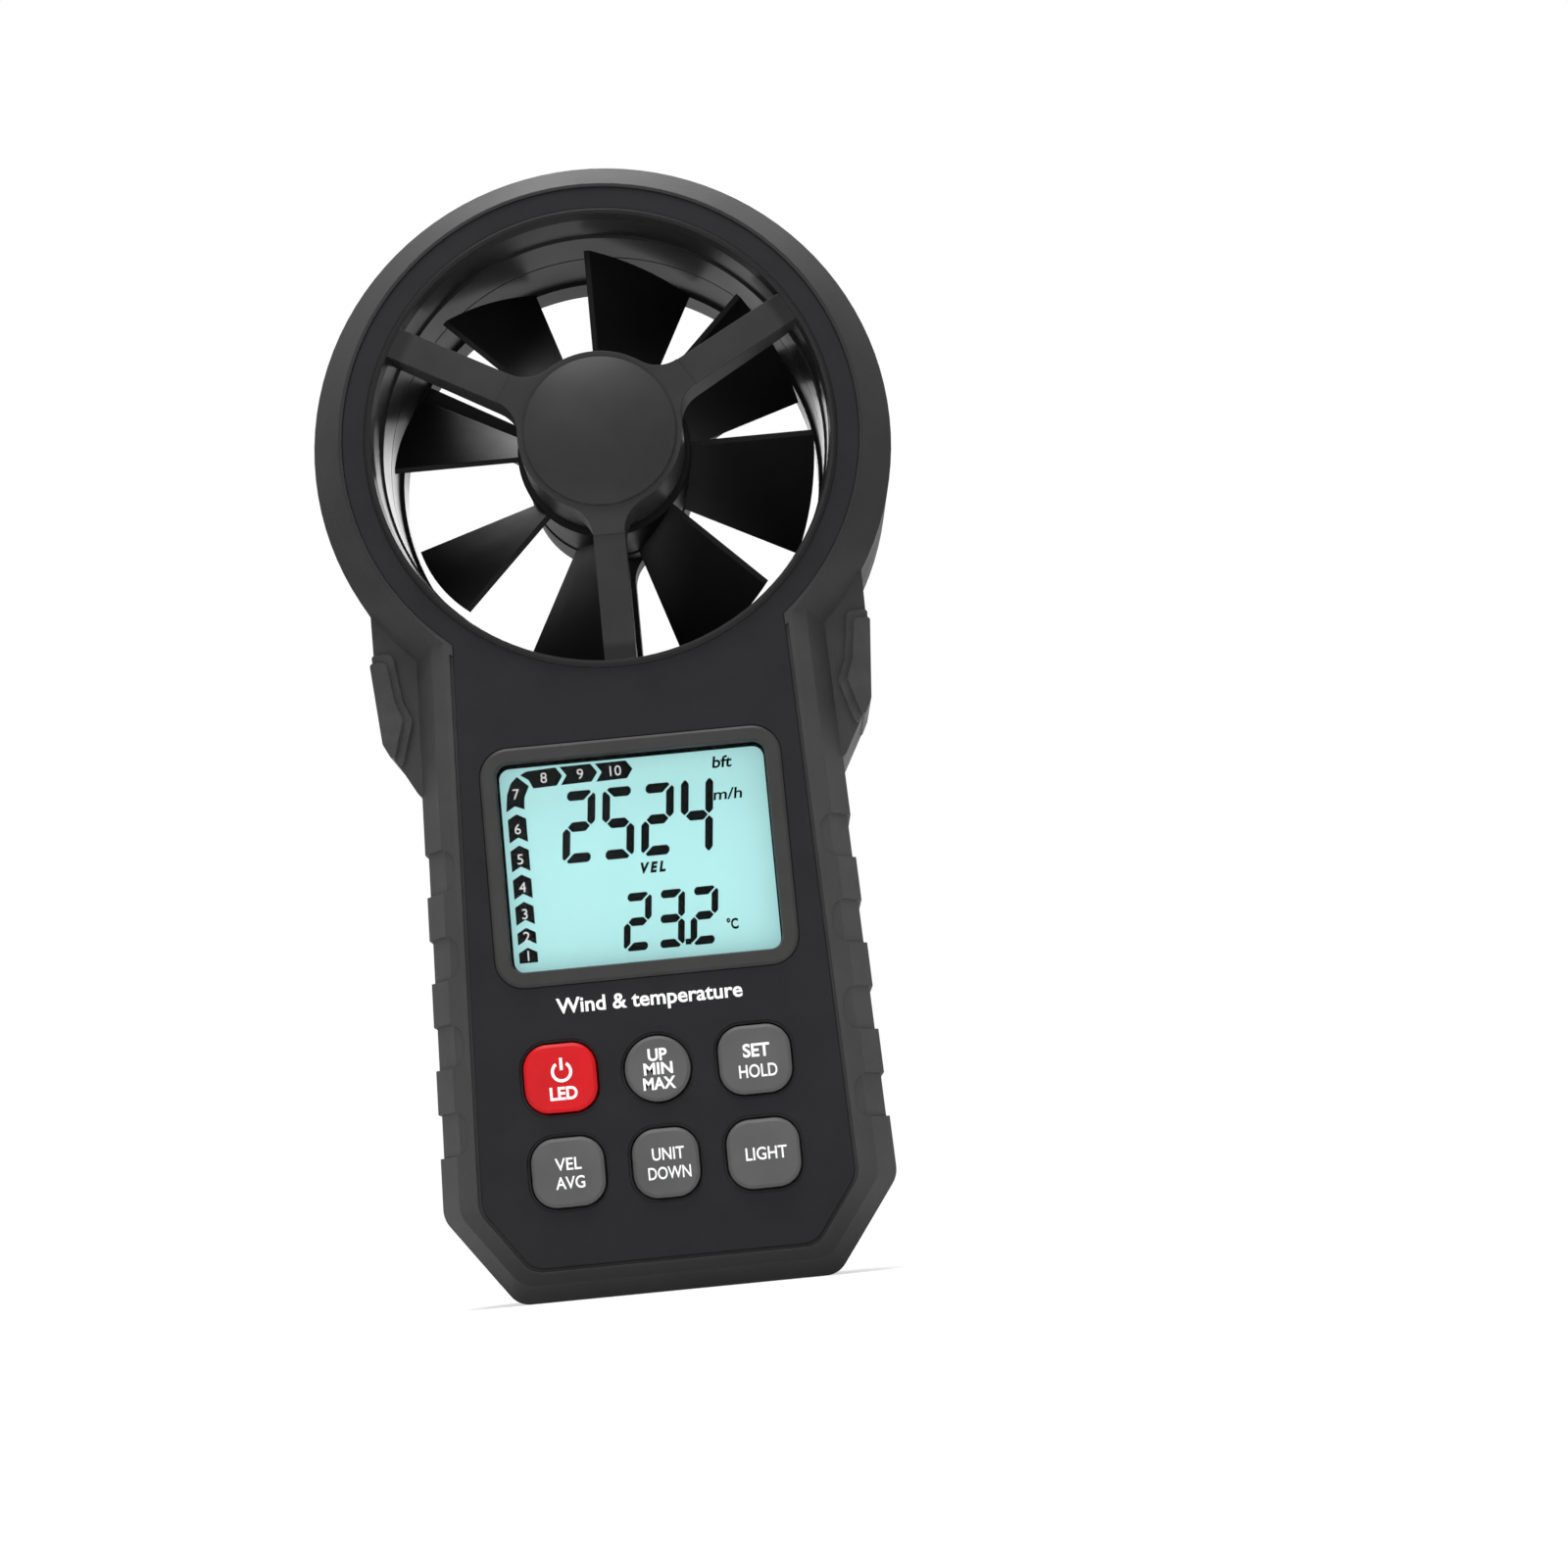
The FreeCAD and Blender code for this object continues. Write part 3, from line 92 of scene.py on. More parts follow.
class Graph:
    """A new node material with a Principled shader, and short calls that add to it."""

    def __init__(self, name, colour, roughness):
        self.material = bpy.data.materials.new(name)
        self.material.use_nodes = True
        self.tree = self.material.node_tree
        self.shader = self.tree.nodes["Principled BSDF"]
        self.shader.inputs["Base Color"].default_value = (*colour, 1.0)
        self.shader.inputs["Roughness"].default_value = roughness
        self.place = self.add("ShaderNodeTexCoord").outputs["Object"]

    def add(self, kind, **settings):
        node = self.tree.nodes.new(kind)
        for name, value in settings.items():
            setattr(node, name, value)
        return node

    def link(self, output, socket):
        self.tree.links.new(output, socket)

    def set(self, **values):
        """Sets the shader's own sockets, named with _ for each space."""
        for name, value in values.items():
            self.shader.inputs[name.replace("_", " ")].default_value = value

    def stretched(self, scale):
        """Object coordinates, scaled along each axis."""
        mapping = self.add("ShaderNodeMapping")
        mapping.inputs["Scale"].default_value = scale
        self.link(self.place, mapping.inputs["Vector"])
        return mapping.outputs["Vector"]

    def height(self):
        """Z of the object coordinates."""
        split = self.add("ShaderNodeSeparateXYZ")
        self.link(self.place, split.inputs["Vector"])
        return split.outputs["Z"]

    def noise(self, per_metre, detail=3.0, place=None):
        texture = self.add("ShaderNodeTexNoise")
        texture.inputs["Scale"].default_value = per_metre
        texture.inputs["Detail"].default_value = detail
        self.link(place or self.place, texture.inputs["Vector"])
        return texture.outputs["Fac"]

    def cells(self, per_metre):
        texture = self.add("ShaderNodeTexVoronoi")
        texture.inputs["Scale"].default_value = per_metre
        self.link(self.place, texture.inputs["Vector"])
        return texture.outputs["Distance"]

    def scaled(self, value, low, high, start=0.0, end=1.0):
        """value mapped from start..end to low..high."""
        ramp = self.add("ShaderNodeMapRange")
        for name, number in (("From Min", start), ("From Max", end), ("To Min", low), ("To Max", high)):
            ramp.inputs[name].default_value = number
        self.link(value, ramp.inputs["Value"])
        return ramp.outputs["Result"]

    def varied(self, texture, low=0.0, high=1.0):
        """A noise's usual range, 0.3 to 0.7, mapped to low..high."""
        return self.scaled(texture, low, high, 0.3, 0.7)

    def mixed(self, factor, first, second):
        """Colour that goes from first to second; either may be a colour or an output."""
        mix = self.add("ShaderNodeMix", data_type="RGBA")
        self.link(factor, mix.inputs[0])
        for socket, value in ((mix.inputs[6], first), (mix.inputs[7], second)):
            if isinstance(value, bpy.types.NodeSocket):
                self.link(value, socket)
            else:
                socket.default_value = (*value, 1.0)
        return mix.outputs[2]

    def colour(self, output):
        self.link(output, self.shader.inputs["Base Color"])

    def roughness(self, output):
        self.link(output, self.shader.inputs["Roughness"])

    def relief(self, heights, edge_radius=0.0):
        """Bumps from (height output, strength, distance in metres), over rounded edges."""
        normal = None
        if edge_radius > 0:
            bevel = self.add("ShaderNodeBevel", samples=6)
            bevel.inputs["Radius"].default_value = edge_radius
            normal = bevel.outputs["Normal"]
        for height, strength, distance in heights:
            bump = self.add("ShaderNodeBump")
            bump.inputs["Strength"].default_value = strength
            bump.inputs["Distance"].default_value = distance
            self.link(height, bump.inputs["Height"])
            if normal:
                self.link(normal, bump.inputs["Normal"])
            normal = bump.outputs["Normal"]
        if normal:
            self.link(normal, self.shader.inputs["Normal"])

    def edge_mask(self, radius):
        """About 0 on flat faces and towards 1 along edges."""
        sharp, flat = 0.75, 0.995
        bevel = self.add("ShaderNodeBevel", samples=6)
        bevel.inputs["Radius"].default_value = radius
        geometry = self.add("ShaderNodeNewGeometry")
        dot = self.add("ShaderNodeVectorMath", operation="DOT_PRODUCT")
        self.link(bevel.outputs["Normal"], dot.inputs[0])
        self.link(geometry.outputs["Normal"], dot.inputs[1])
        return self.scaled(dot.outputs["Value"], 1.0, 0.0, sharp, flat)


def tinted(colour, factor):
    return tuple(min(1.0, channel * factor) for channel in colour)


def painted_side_light(g):
    """Painted light: 1 on the body's sides below the ring, which are lightened to look lit, and 0 on
    the ring and at the foot.
    """
    neck, ring_foot = bezel_high.z + 0.012, bezel_high.z + 0.026
    foot, grip_start = 0.004, 0.014
    height = g.height()
    below_ring = g.scaled(height, 1.0, 0.0, neck, ring_foot)
    above_foot = g.scaled(height, 0.0, 1.0, foot, grip_start)
    wear_and_side_light = g.add("ShaderNodeMath", operation="MULTIPLY")
    g.link(below_ring, wear_and_side_light.inputs[0])
    g.link(above_foot, wear_and_side_light.inputs[1])
    return wear_and_side_light.outputs["Value"]


def moulded(name, colour, roughness=0.5, grain=0.0, specular=0.3, wear=0.0, edge=0.0002,
            side_lightening=1.0):
    """Moulded plastic: faint mottling, uneven gloss, a fine eroded grain and polished edges.

    A factor above 1 in the last argument paints light on the body's sides below the ring, making them
    paler."""
    darker, lighter, worn = 0.9, 1.1, 2.2
    g = Graph(name, colour, roughness)
    g.set(Specular_IOR_Level=specular)
    mottle = g.varied(g.noise(*MOTTLE))
    shade = g.mixed(mottle, tinted(colour, darker), tinted(colour, lighter))
    # Painted light: the sides below the ring are made paler, as if lit from the side.
    if side_lightening > 1.0:
        side_lit_shade = g.mixed(mottle, tinted(colour, darker * side_lightening), tinted(colour, lighter * side_lightening))
        shade = g.mixed(painted_side_light(g), shade, side_lit_shade)
    if wear > 0:
        wear_and_side_light = g.add("ShaderNodeMath", operation="MULTIPLY")
        g.link(g.edge_mask(edge * 2.0), wear_and_side_light.inputs[0])
        g.link(g.scaled(g.noise(900.0, 4.0), 0.2, wear, 0.35, 0.65), wear_and_side_light.inputs[1])
        shade = g.mixed(wear_and_side_light.outputs["Value"], shade, tinted(colour, worn))
    g.colour(shade)
    g.roughness(g.varied(g.noise(*SMUDGE), roughness - 0.06, roughness + 0.08))
    heights = [(g.noise(*MOULD_GRAIN), 0.12, 0.00002)]
    if grain > 0:
        heights.append((g.cells(2300.0), grain, 0.00004))
    g.relief(heights, edge)
    return g.material


def axis_distance(g):
    """How far a point lies from the vane wheel's axis."""
    offset = g.add("ShaderNodeVectorMath", operation="SUBTRACT")
    g.link(g.place, offset.inputs[0])
    offset.inputs[1].default_value = middle("rotor_shaft")
    flat = g.add("ShaderNodeVectorMath", operation="MULTIPLY")
    g.link(offset.outputs["Vector"], flat.inputs[0])
    flat.inputs[1].default_value = (1.0, 0.0, 1.0)
    length = g.add("ShaderNodeVectorMath", operation="LENGTH")
    g.link(flat.outputs["Vector"], length.inputs[0])
    return length.outputs["Value"]


def duct_plastic():
    """Duct moulding: a polished bore that mirrors the vanes and has painted shade in its colour, matte
    spokes, a softly domed cap.
    """
    colour = (0.0285, 0.0285, 0.0290)
    matte, polished, painted_bore_shade = 0.46, 0.33, 0.6
    blend, dome_height = 0.0005, 0.0020
    g = Graph("duct_black", colour, matte)
    g.set(Specular_IOR_Level=0.06)
    radius = axis_distance(g)
    bore = g.scaled(radius, 0.0, 1.0, tip_radius - blend, tip_radius + blend)
    gloss = g.add("ShaderNodeMath", operation="ADD")
    g.link(g.scaled(bore, matte, polished), gloss.inputs[0])
    g.link(g.varied(g.noise(*SMUDGE), -0.05, 0.06), gloss.inputs[1])
    g.roughness(gloss.outputs["Value"])
    mottle = g.varied(g.noise(*MOTTLE))
    shade = g.mixed(mottle, tinted(colour, 0.9), tinted(colour, 1.1))
    # Painted shade: the bore's colour is darkened to 0.6 of the rest, standing in for the shade inside
    # the duct.
    g.colour(g.mixed(bore, shade, tinted(colour, painted_bore_shade)))
    square = g.add("ShaderNodeMath", operation="MULTIPLY")
    for socket in square.inputs[:2]:
        g.link(radius, socket)
    cap_low, cap_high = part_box("hub_cap")
    dome = g.scaled(square.outputs["Value"], 1.0, 0.0, 0.0, ((cap_high.x - cap_low.x) / 2) ** 2)
    g.relief([(dome, 1.0, dome_height), (g.noise(*MOULD_GRAIN), 0.08, 0.00002)], 0.0002)
    return g.material


def rubber(name, colour):
    """Matte rubber with dust in its pores."""
    dusty = 1.9
    g = Graph(name, colour, 0.72)
    g.set(Specular_IOR_Level=0.25, Sheen_Weight=0.12, Sheen_Roughness=0.45)
    dust = g.scaled(g.noise(380.0, 6.0), 0.0, 0.35, 0.45, 0.75)
    g.colour(g.mixed(dust, colour, tinted(colour, dusty)))
    g.roughness(g.varied(g.noise(120.0, 4.0), 0.62, 0.82))
    g.relief([(g.noise(3500.0, 3.0), 0.25, 0.00003)], 0.00025)
    return g.material


def metal(name, colour, roughness, along=(1.0, 1.0, 1.0), brushing=400.0):
    """Turned or rolled metal: fine lines stretched along one axis, with uneven tarnish."""
    tarnished = 0.72
    g = Graph(name, colour, roughness)
    g.set(Metallic=1.0)
    lines = g.noise(brushing, 4.0, g.stretched(along))
    tarnish = g.scaled(g.noise(220.0, 5.0), 0.0, 1.0, 0.35, 0.7)
    g.colour(g.mixed(tarnish, colour, tinted(colour, tarnished)))
    g.roughness(g.varied(lines, roughness - 0.08, roughness + 0.12))
    g.relief([(lines, 0.15, 0.00002)], 0.0001)
    return g.material


def clear_acrylic():
    """Hard-coated window that lets light straight through, with faint dust on it."""
    g = Graph("clear_acrylic", (0.02, 0.025, 0.025), 0.04)
    g.set(Alpha=0.05, Specular_IOR_Level=0.45)
    g.roughness(g.scaled(g.noise(300.0, 5.0), 0.03, 0.14, 0.45, 0.8))
    g.relief([(g.noise(40.0, 1.0), 0.02, 0.0001)])
    return g.material


def lit_display(name, colour, glow):
    """Display background: a lit diffuser, very slightly uneven."""
    dimmer, brighter = 0.97, 1.03
    g = Graph(name, colour, 0.5)
    g.set(Specular_IOR_Level=0.1, Emission_Strength=glow)
    patch = g.varied(g.noise(30.0, 2.0))
    g.colour(g.mixed(patch, tinted(colour, dimmer), tinted(colour, brighter)))
    g.shader.inputs["Emission Color"].default_value = (*colour, 1.0)
    g.relief([(g.noise(*INK_GRAIN), 0.05, 0.00001)])
    return g.material


def board_green():
    """Solder mask over a faint run of copper tracks."""
    mask, track = (0.008, 0.095, 0.03), (0.02, 0.19, 0.06)
    g = Graph("board_green", (0.01, 0.11, 0.035), 0.35)
    g.set(Coat_Weight=0.4, Coat_Roughness=0.2)
    brick = g.add("ShaderNodeTexBrick")
    brick.inputs["Scale"].default_value = 240.0
    brick.inputs["Mortar Size"].default_value = 0.06
    mapping = g.add("ShaderNodeMapping")
    mapping.inputs["Rotation"].default_value = (math.radians(90), 0, 0)
    g.link(g.place, mapping.inputs["Vector"])
    g.link(mapping.outputs["Vector"], brick.inputs["Vector"])
    g.colour(g.mixed(brick.outputs["Fac"], mask, track))
    g.roughness(g.varied(g.noise(200.0), 0.28, 0.45))
    g.relief([(brick.outputs["Fac"], 0.3, 0.00003)], 0.0001)
    return g.material


def sleeve(name, negative, positive):
    """Battery sleeve between the heights of its poles: two colour bands, and bare steel ends."""
    band_start, band_end = 0.68, 0.69
    nub_start, foot_end, blend = 0.968, 0.012, 0.004
    blue, gold, bare = (0.03, 0.10, 0.24), (0.62, 0.40, 0.10), (0.62, 0.61, 0.59)
    g = Graph(name, (0.05, 0.16, 0.30), 0.3)
    along = g.scaled(g.height(), 0.0, 1.0, negative, positive)
    band = g.scaled(along, 0.0, 1.0, band_start, band_end)
    wrap = g.mixed(band, blue, gold)
    nub = g.scaled(along, 0.0, 1.0, nub_start, nub_start + blend)
    foot = g.scaled(along, 1.0, 0.0, foot_end - blend, foot_end)
    steel = g.add("ShaderNodeMath", operation="MAXIMUM")
    g.link(nub, steel.inputs[0])
    g.link(foot, steel.inputs[1])
    g.colour(g.mixed(steel.outputs["Value"], wrap, bare))
    g.link(steel.outputs["Value"], g.shader.inputs["Metallic"])
    g.set(Coat_Weight=0.3, Coat_Roughness=0.15)
    g.roughness(g.varied(g.noise(150.0, 4.0), 0.22, 0.38))
    g.relief([(g.noise(500.0, 3.0), 0.06, 0.00003)], 0.0002)
    return g.material


def printed(name, colour, roughness=0.5, specular=0.3):
    """Ink with slightly uneven coverage."""
    thin = 0.93
    g = Graph(name, colour, roughness)
    g.set(Specular_IOR_Level=specular)
    cover = g.scaled(g.noise(1800.0, 3.0), 0.0, 1.0, 0.3, 0.75)
    g.colour(g.mixed(cover, tinted(colour, thin), colour))
    g.roughness(g.varied(g.noise(500.0, 3.0), roughness - 0.05, roughness + 0.08))
    g.relief([(g.noise(*INK_GRAIN), 0.1, 0.00001)])
    return g.material


def cell_poles(node, plus_up):
    """The heights of a cell's negative and positive ends."""
    low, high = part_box(node)
    return (low.z, high.z) if plus_up else (high.z, low.z)


def make_materials():
    return {
        # The case's sides get painted light: they are 2.5 times paler than the rest.
        "shell_plastic": moulded("case_black", (0.0132, 0.0132, 0.0136), 0.55, 0.35, 0.20, 0.35,
                                 side_lightening=2.5),
        "panel_plastic": moulded("panel_black", (0.0112, 0.0112, 0.0127), 0.60, 0.0, 0.14),
        "grip_rubber": rubber("grip_black", (0.030, 0.030, 0.0305)),
        "duct_plastic": duct_plastic(),
        "vane_plastic": moulded("vane_black", (0.0062, 0.0062, 0.0066), 0.5, 0.0, 0.10, edge=0.00012),
        "bezel_plastic": moulded("bezel_grey", (0.0280, 0.0276, 0.0272), 0.5, 0.0, 0.2),
        "clear_window": clear_acrylic(),
        "lcd_glass": lit_display("display_lit", (0.285, 0.523, 0.519), 0.62),
        "backlight_panel": lit_display("backlight_lit", (0.30, 0.60, 0.58), 0.6),
        "red_key": moulded("key_red", (0.475, 0.0025, 0.006), 0.45, 0.0, 0.2),
        "grey_key": moulded("key_grey", (0.076, 0.076, 0.077), 0.5, 0.0, 0.2),
        "print_white": printed("ink_white", (0.88, 0.88, 0.88)),
        "display_ink": printed("segment_black", (0.003, 0.004, 0.004), 0.7, 0.02),
        "steel": metal("ground_steel", (0.60, 0.60, 0.61), 0.3, (1.0, 12.0, 1.0)),
        "zinc_screw": metal("zinc_plate", (0.45, 0.45, 0.46), 0.35),
        "black_screw": metal("black_oxide", (0.05, 0.05, 0.052), 0.4),
        "bronze": metal("sintered_bronze", (0.55, 0.36, 0.16), 0.45),
        "brass_insert": metal("turned_brass", (0.72, 0.50, 0.20), 0.3, (1.0, 14.0, 1.0)),
        "magnet": moulded("ferrite", (0.05, 0.05, 0.055), 0.5),
        "circuit_board": board_green(),
        "chip_epoxy": moulded("chip_epoxy", (0.015, 0.015, 0.016), 0.55, 0.2),
        "ribbon_film": moulded("polyimide", (0.50, 0.21, 0.04), 0.3, 0.0, 0.5),
        "silicone_mat": rubber("silicone_grey", (0.40, 0.40, 0.41)),
        "strip_rubber": rubber("strip_pink", (0.45, 0.12, 0.17)),
        "holder_plastic": moulded("holder_natural", (0.70, 0.70, 0.67), 0.5),
        "spring_steel": metal("nickel_plate", (0.66, 0.65, 0.62), 0.22),
        "cell_wrap": sleeve("cell_sleeve", *cell_poles("battery_1", True)),
        "label_film": printed("label_silver", (0.36, 0.36, 0.37), 0.45),
        "bead_epoxy": moulded("bead_epoxy", (0.04, 0.04, 0.05), 0.25, 0.0, 0.5),
    }


# ---------------------------------------------------------------- flat pieces
# Ink and display segments are drawn in a flat frame: x to the reader's right, z up, and
# depth out of the surface. Their lengths are in millimetres, here and in the next two sections.
INK = 0.02                    # thickness of printed ink and of display segments
FRAME_WIDTH = 2.3             # of the bezel, round the picture
DIGIT_SLANT = 0.10            # of the readings, in x for each z
UPRIGHT_HALF = 0.4            # half of an upright's width, in thicknesses of a crossbar
ARROW_RISE = 0.75             # height of an arrow's point, and of the notch in the next one


def add_flat(name, plates, y, material_slot, body, behind=False):
    """One piece from (points, faces) plates on the plane y; behind turns it to face +Y."""
    points, faces = [], []
    for plate_points, plate_faces in plates:
        faces += [[len(points) + i for i in face] for face in plate_faces]
        points += plate_points
    side = -1 if behind else 1
    mesh = bpy.data.meshes.new(name)
    mesh.from_pydata([(side * x * MM, y - side * depth * MM, z * MM) for x, z, depth in points],
                     [], faces)
    mesh.update()
    mesh.materials.append(materials[material_slot])
    piece = bpy.data.objects.new(name, mesh)
    bpy.context.scene.collection.objects.link(piece)
    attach(piece, body)


def plate(outline):
    """A thin plate from an (x, z) outline, anticlockwise to its reader."""
    count = len(outline)
    points = [(x, z, INK) for x, z in outline] + [(x, z, 0.0) for x, z in outline]
    faces = [list(range(count)), list(range(2 * count - 1, count - 1, -1))]
    for i in range(count):
        j = (i + 1) % count
        faces.append([i, count + i, count + j, j])
    return points, faces


def block(x, z, width, height):
    """A rectangular plate centred on (x, z)."""
    return plate([(x - width / 2, z - height / 2), (x + width / 2, z - height / 2),
                  (x + width / 2, z + height / 2), (x - width / 2, z + height / 2)])


def glyphs(words, bold):
    """Points and faces of words at size 1, as Blender's own font draws them."""
    curve = bpy.data.curves.new("words", "FONT")
    curve.body = words
    curve.extrude = 0.01
    curve.offset = bold
    curve.resolution_u = 4
    text = bpy.data.objects.new("words", curve)
    bpy.context.scene.collection.objects.link(text)
    bpy.context.view_layer.update()
    mesh = bpy.data.meshes.new_from_object(
        text.evaluated_get(bpy.context.evaluated_depsgraph_get()))
    points = [tuple(v.co) for v in mesh.vertices]
    faces = [list(face.vertices) for face in mesh.polygons]
    bpy.data.objects.remove(text)
    bpy.data.meshes.remove(mesh)
    return points, faces


def words_plate(words, x, z, height, width=None, slant=0.0, bold=0.0):
    """Words whose capitals are height tall, centred on (x, z) and fitted to width."""
    points, faces = glyphs(words, bold)
    tall = height / cap_height
    low, high = min(p[0] for p in points), max(p[0] for p in points)
    wide = width / (high - low) if width else tall
    left = x - wide * (low + high) / 2
    base = z - height / 2
    return [(left + wide * px + slant * (tall * py - height / 2), base + tall * py,
             INK if pz > 0 else 0.0) for px, py, pz in points], faces


# ---------------------------------------------------------------- display content
SEGMENTS = {"2": "abged", "3": "abgcd", "4": "fgbc", "5": "afgcd"}


def anticlockwise(points):
    area = sum(p[0] * q[1] - q[0] * p[1] for p, q in zip(points, points[1:] + points[:1]))
    return points if area > 0 else points[::-1]


def crossbar(edge, inward, ends, joined, thick):
    """A bar from its outer edge inwards; an end that meets a lit upright is cut at 45 degrees.

    inward is 1 or -1, or 0 for the middle bar. Each run is in thicknesses: along, and across."""
    points = []
    for x, outward, meets in ((ends[1], 1, joined[1]), (ends[0], -1, joined[0])):
        if inward == 0 and meets:
            run = [(-0.58, 0.0), (-0.12, 0.5), (-0.58, 1.0)]
        elif meets:
            run = [(-0.26, 0.0), (-0.06, 0.25), (-0.80, 1.0)]
        else:
            run = [(-0.28, 0.0), (0.0, 0.3), (0.0, 0.7), (-0.28, 1.0)]
        side = [(x + outward * dx * thick, edge + (inward or -1) * depth * thick)
                for dx, depth in run]
        points += side if outward > 0 else side[::-1]
    return anticlockwise(points)


def upright(x, outward, tip, middle_z, meets, thick):
    """A bar from the digit's tip to its middle, cut at 45 degrees where it meets a crossbar.

    outward is the side its digit's edge is on, 1 or -1. Each run is (outward, from the tip)."""
    half = thick * UPRIGHT_HALF
    down = 1 if middle_z > tip else -1
    if meets:
        run = [(half, 0.58 * thick), (0.17 * thick, 0.32 * thick), (-half, 0.49 * thick + half)]
    else:
        run = [(half, half), (0.25 * half, 0.0), (-0.25 * half, 0.0), (-half, half)]
    points = [(x + outward * dx, tip + down * dz) for dx, dz in run]
    foot = 0.1 * thick
    points += [(x + outward * dx, middle_z - down * dz)
               for dx, dz in ((-half, foot + half), (0.0, foot), (half, foot + half))]
    return anticlockwise(points)


def digit_plates(digit, left, base, size, thick):
    """The lit bars of one slanted digit whose upright lower left corner is (left, base)."""
    width, height = size
    lit = SEGMENTS[digit]
    z_mid = height / 2
    ends = (thick * UPRIGHT_HALF, width - thick * UPRIGHT_HALF)
    bars = {
        "a": crossbar(height, -1, ends, ("f" in lit, "b" in lit), thick),
        "d": crossbar(0.0, 1, ends, ("e" in lit, "c" in lit), thick),
        "g": crossbar(z_mid + thick / 2, 0, ends, ("f" in lit or "e" in lit, True), thick),
        "f": upright(ends[0], -1, height, z_mid, "a" in lit, thick),
        "b": upright(ends[1], 1, height, z_mid, "a" in lit, thick),
        "e": upright(ends[0], -1, 0.0, z_mid, "d" in lit, thick),
        "c": upright(ends[1], 1, 0.0, z_mid, "d" in lit, thick),
    }
    return [plate([(left + x + DIGIT_SLANT * z, base + z) for x, z in bars[letter]])
            for letter in lit]


def number_plates(digits, left, base, size, pitch, thick):
    """Plates of a slanted number; a full stop sits in the gap before the next digit."""
    stop_side, stop_shift = thick * 0.7, 0.2
    plates = []
    for digit in digits:
        if digit == ".":
            gap_middle = left - (pitch - size[0]) / 2
            plates.append(block(gap_middle + stop_shift, base + thick / 2, stop_side, stop_side))
            continue
        plates += digit_plates(digit, left, base, size, thick)
        left += pitch
    return plates


def arrow_up(left, right, bottom, top, notch):
    """Block arrow that points up, with a notch of the same slope in its foot."""
    centre = (left + right) / 2
    return [(left, bottom), (centre, bottom + notch), (right, bottom),
            (right, top - ARROW_RISE), (centre, top), (left, top - ARROW_RISE)]


def spot(across, down):
    """The (x, z) of a point of the display, measured from its upper left corner."""
    return bezel_low.x / MM + FRAME_WIDTH + across, bezel_high.z / MM - FRAME_WIDTH - down


def painted_shadow_loop(left, foot, head, radius):
    """Left half of the painted shadow's rounded border, from its top to its foot, inset from the
    picture's edge.
    """
    steps = 8
    low_x, high_z = spot(left, head)
    low_z = bezel_low.z / MM + FRAME_WIDTH + foot
    loop = [(0.0, high_z)]
    for corner_z, start in ((high_z - radius, 90), (low_z + radius, 180)):
        for i in range(steps + 1):
            angle = math.radians(start + 90 * i / steps)
            loop.append((low_x + radius + radius * math.cos(angle),
                         corner_z + radius * math.sin(angle)))
    loop.append((0.0, low_z))
    return loop


def painted_shadow_plates():
    """Painted shadow round the picture: two dark C-shaped plates under the bezel's inner edge, widest
    at the top, where the bezel's step casts shade.
    """
    hidden = -1.3
    outer = painted_shadow_loop(hidden, hidden, hidden, radius=1.8)
    inner = painted_shadow_loop(left=0.2, foot=0.1, head=0.3, radius=1.6)
    left_half = outer + inner[::-1]
    right_half = [(-x, z) for x, z in reversed(left_half)]
    return [plate(left_half), plate(right_half)]


def reading_plates():
    """Wind speed in large digits, over the temperature in smaller ones."""
    plates = []
    for digits, across, down, size, pitch, thick in (
        ("2524", 8.2, 14.75, (4.65, 10.4), 5.67, 1.4),
        ("23.2", 15.85, 28.15, (3.95, 8.3), 4.78, 1.2),
    ):
        plates += number_plates(digits, *spot(across, down), size, pitch, thick)
    return plates


def unit_plates():
    """Units: (words, right of and below the picture's corner, height, width, slant, bold)."""
    return [words_plate(words, *spot(across, down), height, width, slant, bold)
            for words, across, down, height, width, slant, bold in (
                ("V E L", 21.1, 16.4, 1.35, 3.8, 0.22, 0.06),
                ("bft", 32.4, 2.1, 1.6, 2.8, 0.15, 0.02),
                ("m/h", 32.8, 6.8, 1.55, 4.1, 0.15, 0.015),
                ("\u00b0C", 31.7, 25.6, 1.4, 1.65, 0.0, 0.035))]


def scale_arrows():
    """The force scale: arrows 1 to 6 up the side, 7 round the corner, and 8 to 10 along the top.

    Returns the plates, and the words and place of each arrow's numeral."""
    column_left, column_right, gap, numeral_drop = 0.95, 3.6, 0.4, 0.1
    feet = [28.4, 25.8, 22.95, 19.2, 15.25, 11.05, 6.5]
    plates, marks = [], []
    for i in range(6):
        low_x, low_z = spot(column_left, feet[i])
        high_x, high_z = spot(column_right, feet[i + 1] + gap)
        notch = 0.0 if i == 0 else ARROW_RISE
        plates.append(plate(arrow_up(low_x, high_x, low_z, high_z, notch)))
        numeral_z = (low_z + high_z) / 2 - numeral_drop
        marks.append((str(i + 1), (low_x + high_x) / 2, numeral_z))
    corner = [(0.85, 6.5), (2.15, 5.75), (3.5, 6.3), (3.6, 4.6), (4.4, 3.0), (2.75, 1.5),
              (1.8, 2.4), (1.15, 4.0)]
    first = [(3.25, 1.3), (4.4, 2.1), (5.0, 3.4), (8.4, 3.3), (9.3, 1.95), (8.4, 0.65), (4.2, 0.85)]
    for words, outline, across, down in (("7", corner, 2.45, 4.0), ("8", first, 6.6, 2.0)):
        plates.append(plate([spot(*point) for point in outline]))
        marks.append((words, *spot(across, down)))
    head, shift = 0.9, 0.2
    for words, start, end in (("9", 9.0, 14.35), ("10", 14.1, 19.45)):
        outline = [(start, 3.3), (end - head, 3.2), (end, 1.9), (end - head, 0.6), (start, 0.65),
                   (start + head, 1.95)]
        plates.append(plate([spot(*point) for point in outline]))
        marks.append((words, *spot((start + end) / 2 + shift, 1.95)))
    return plates, marks


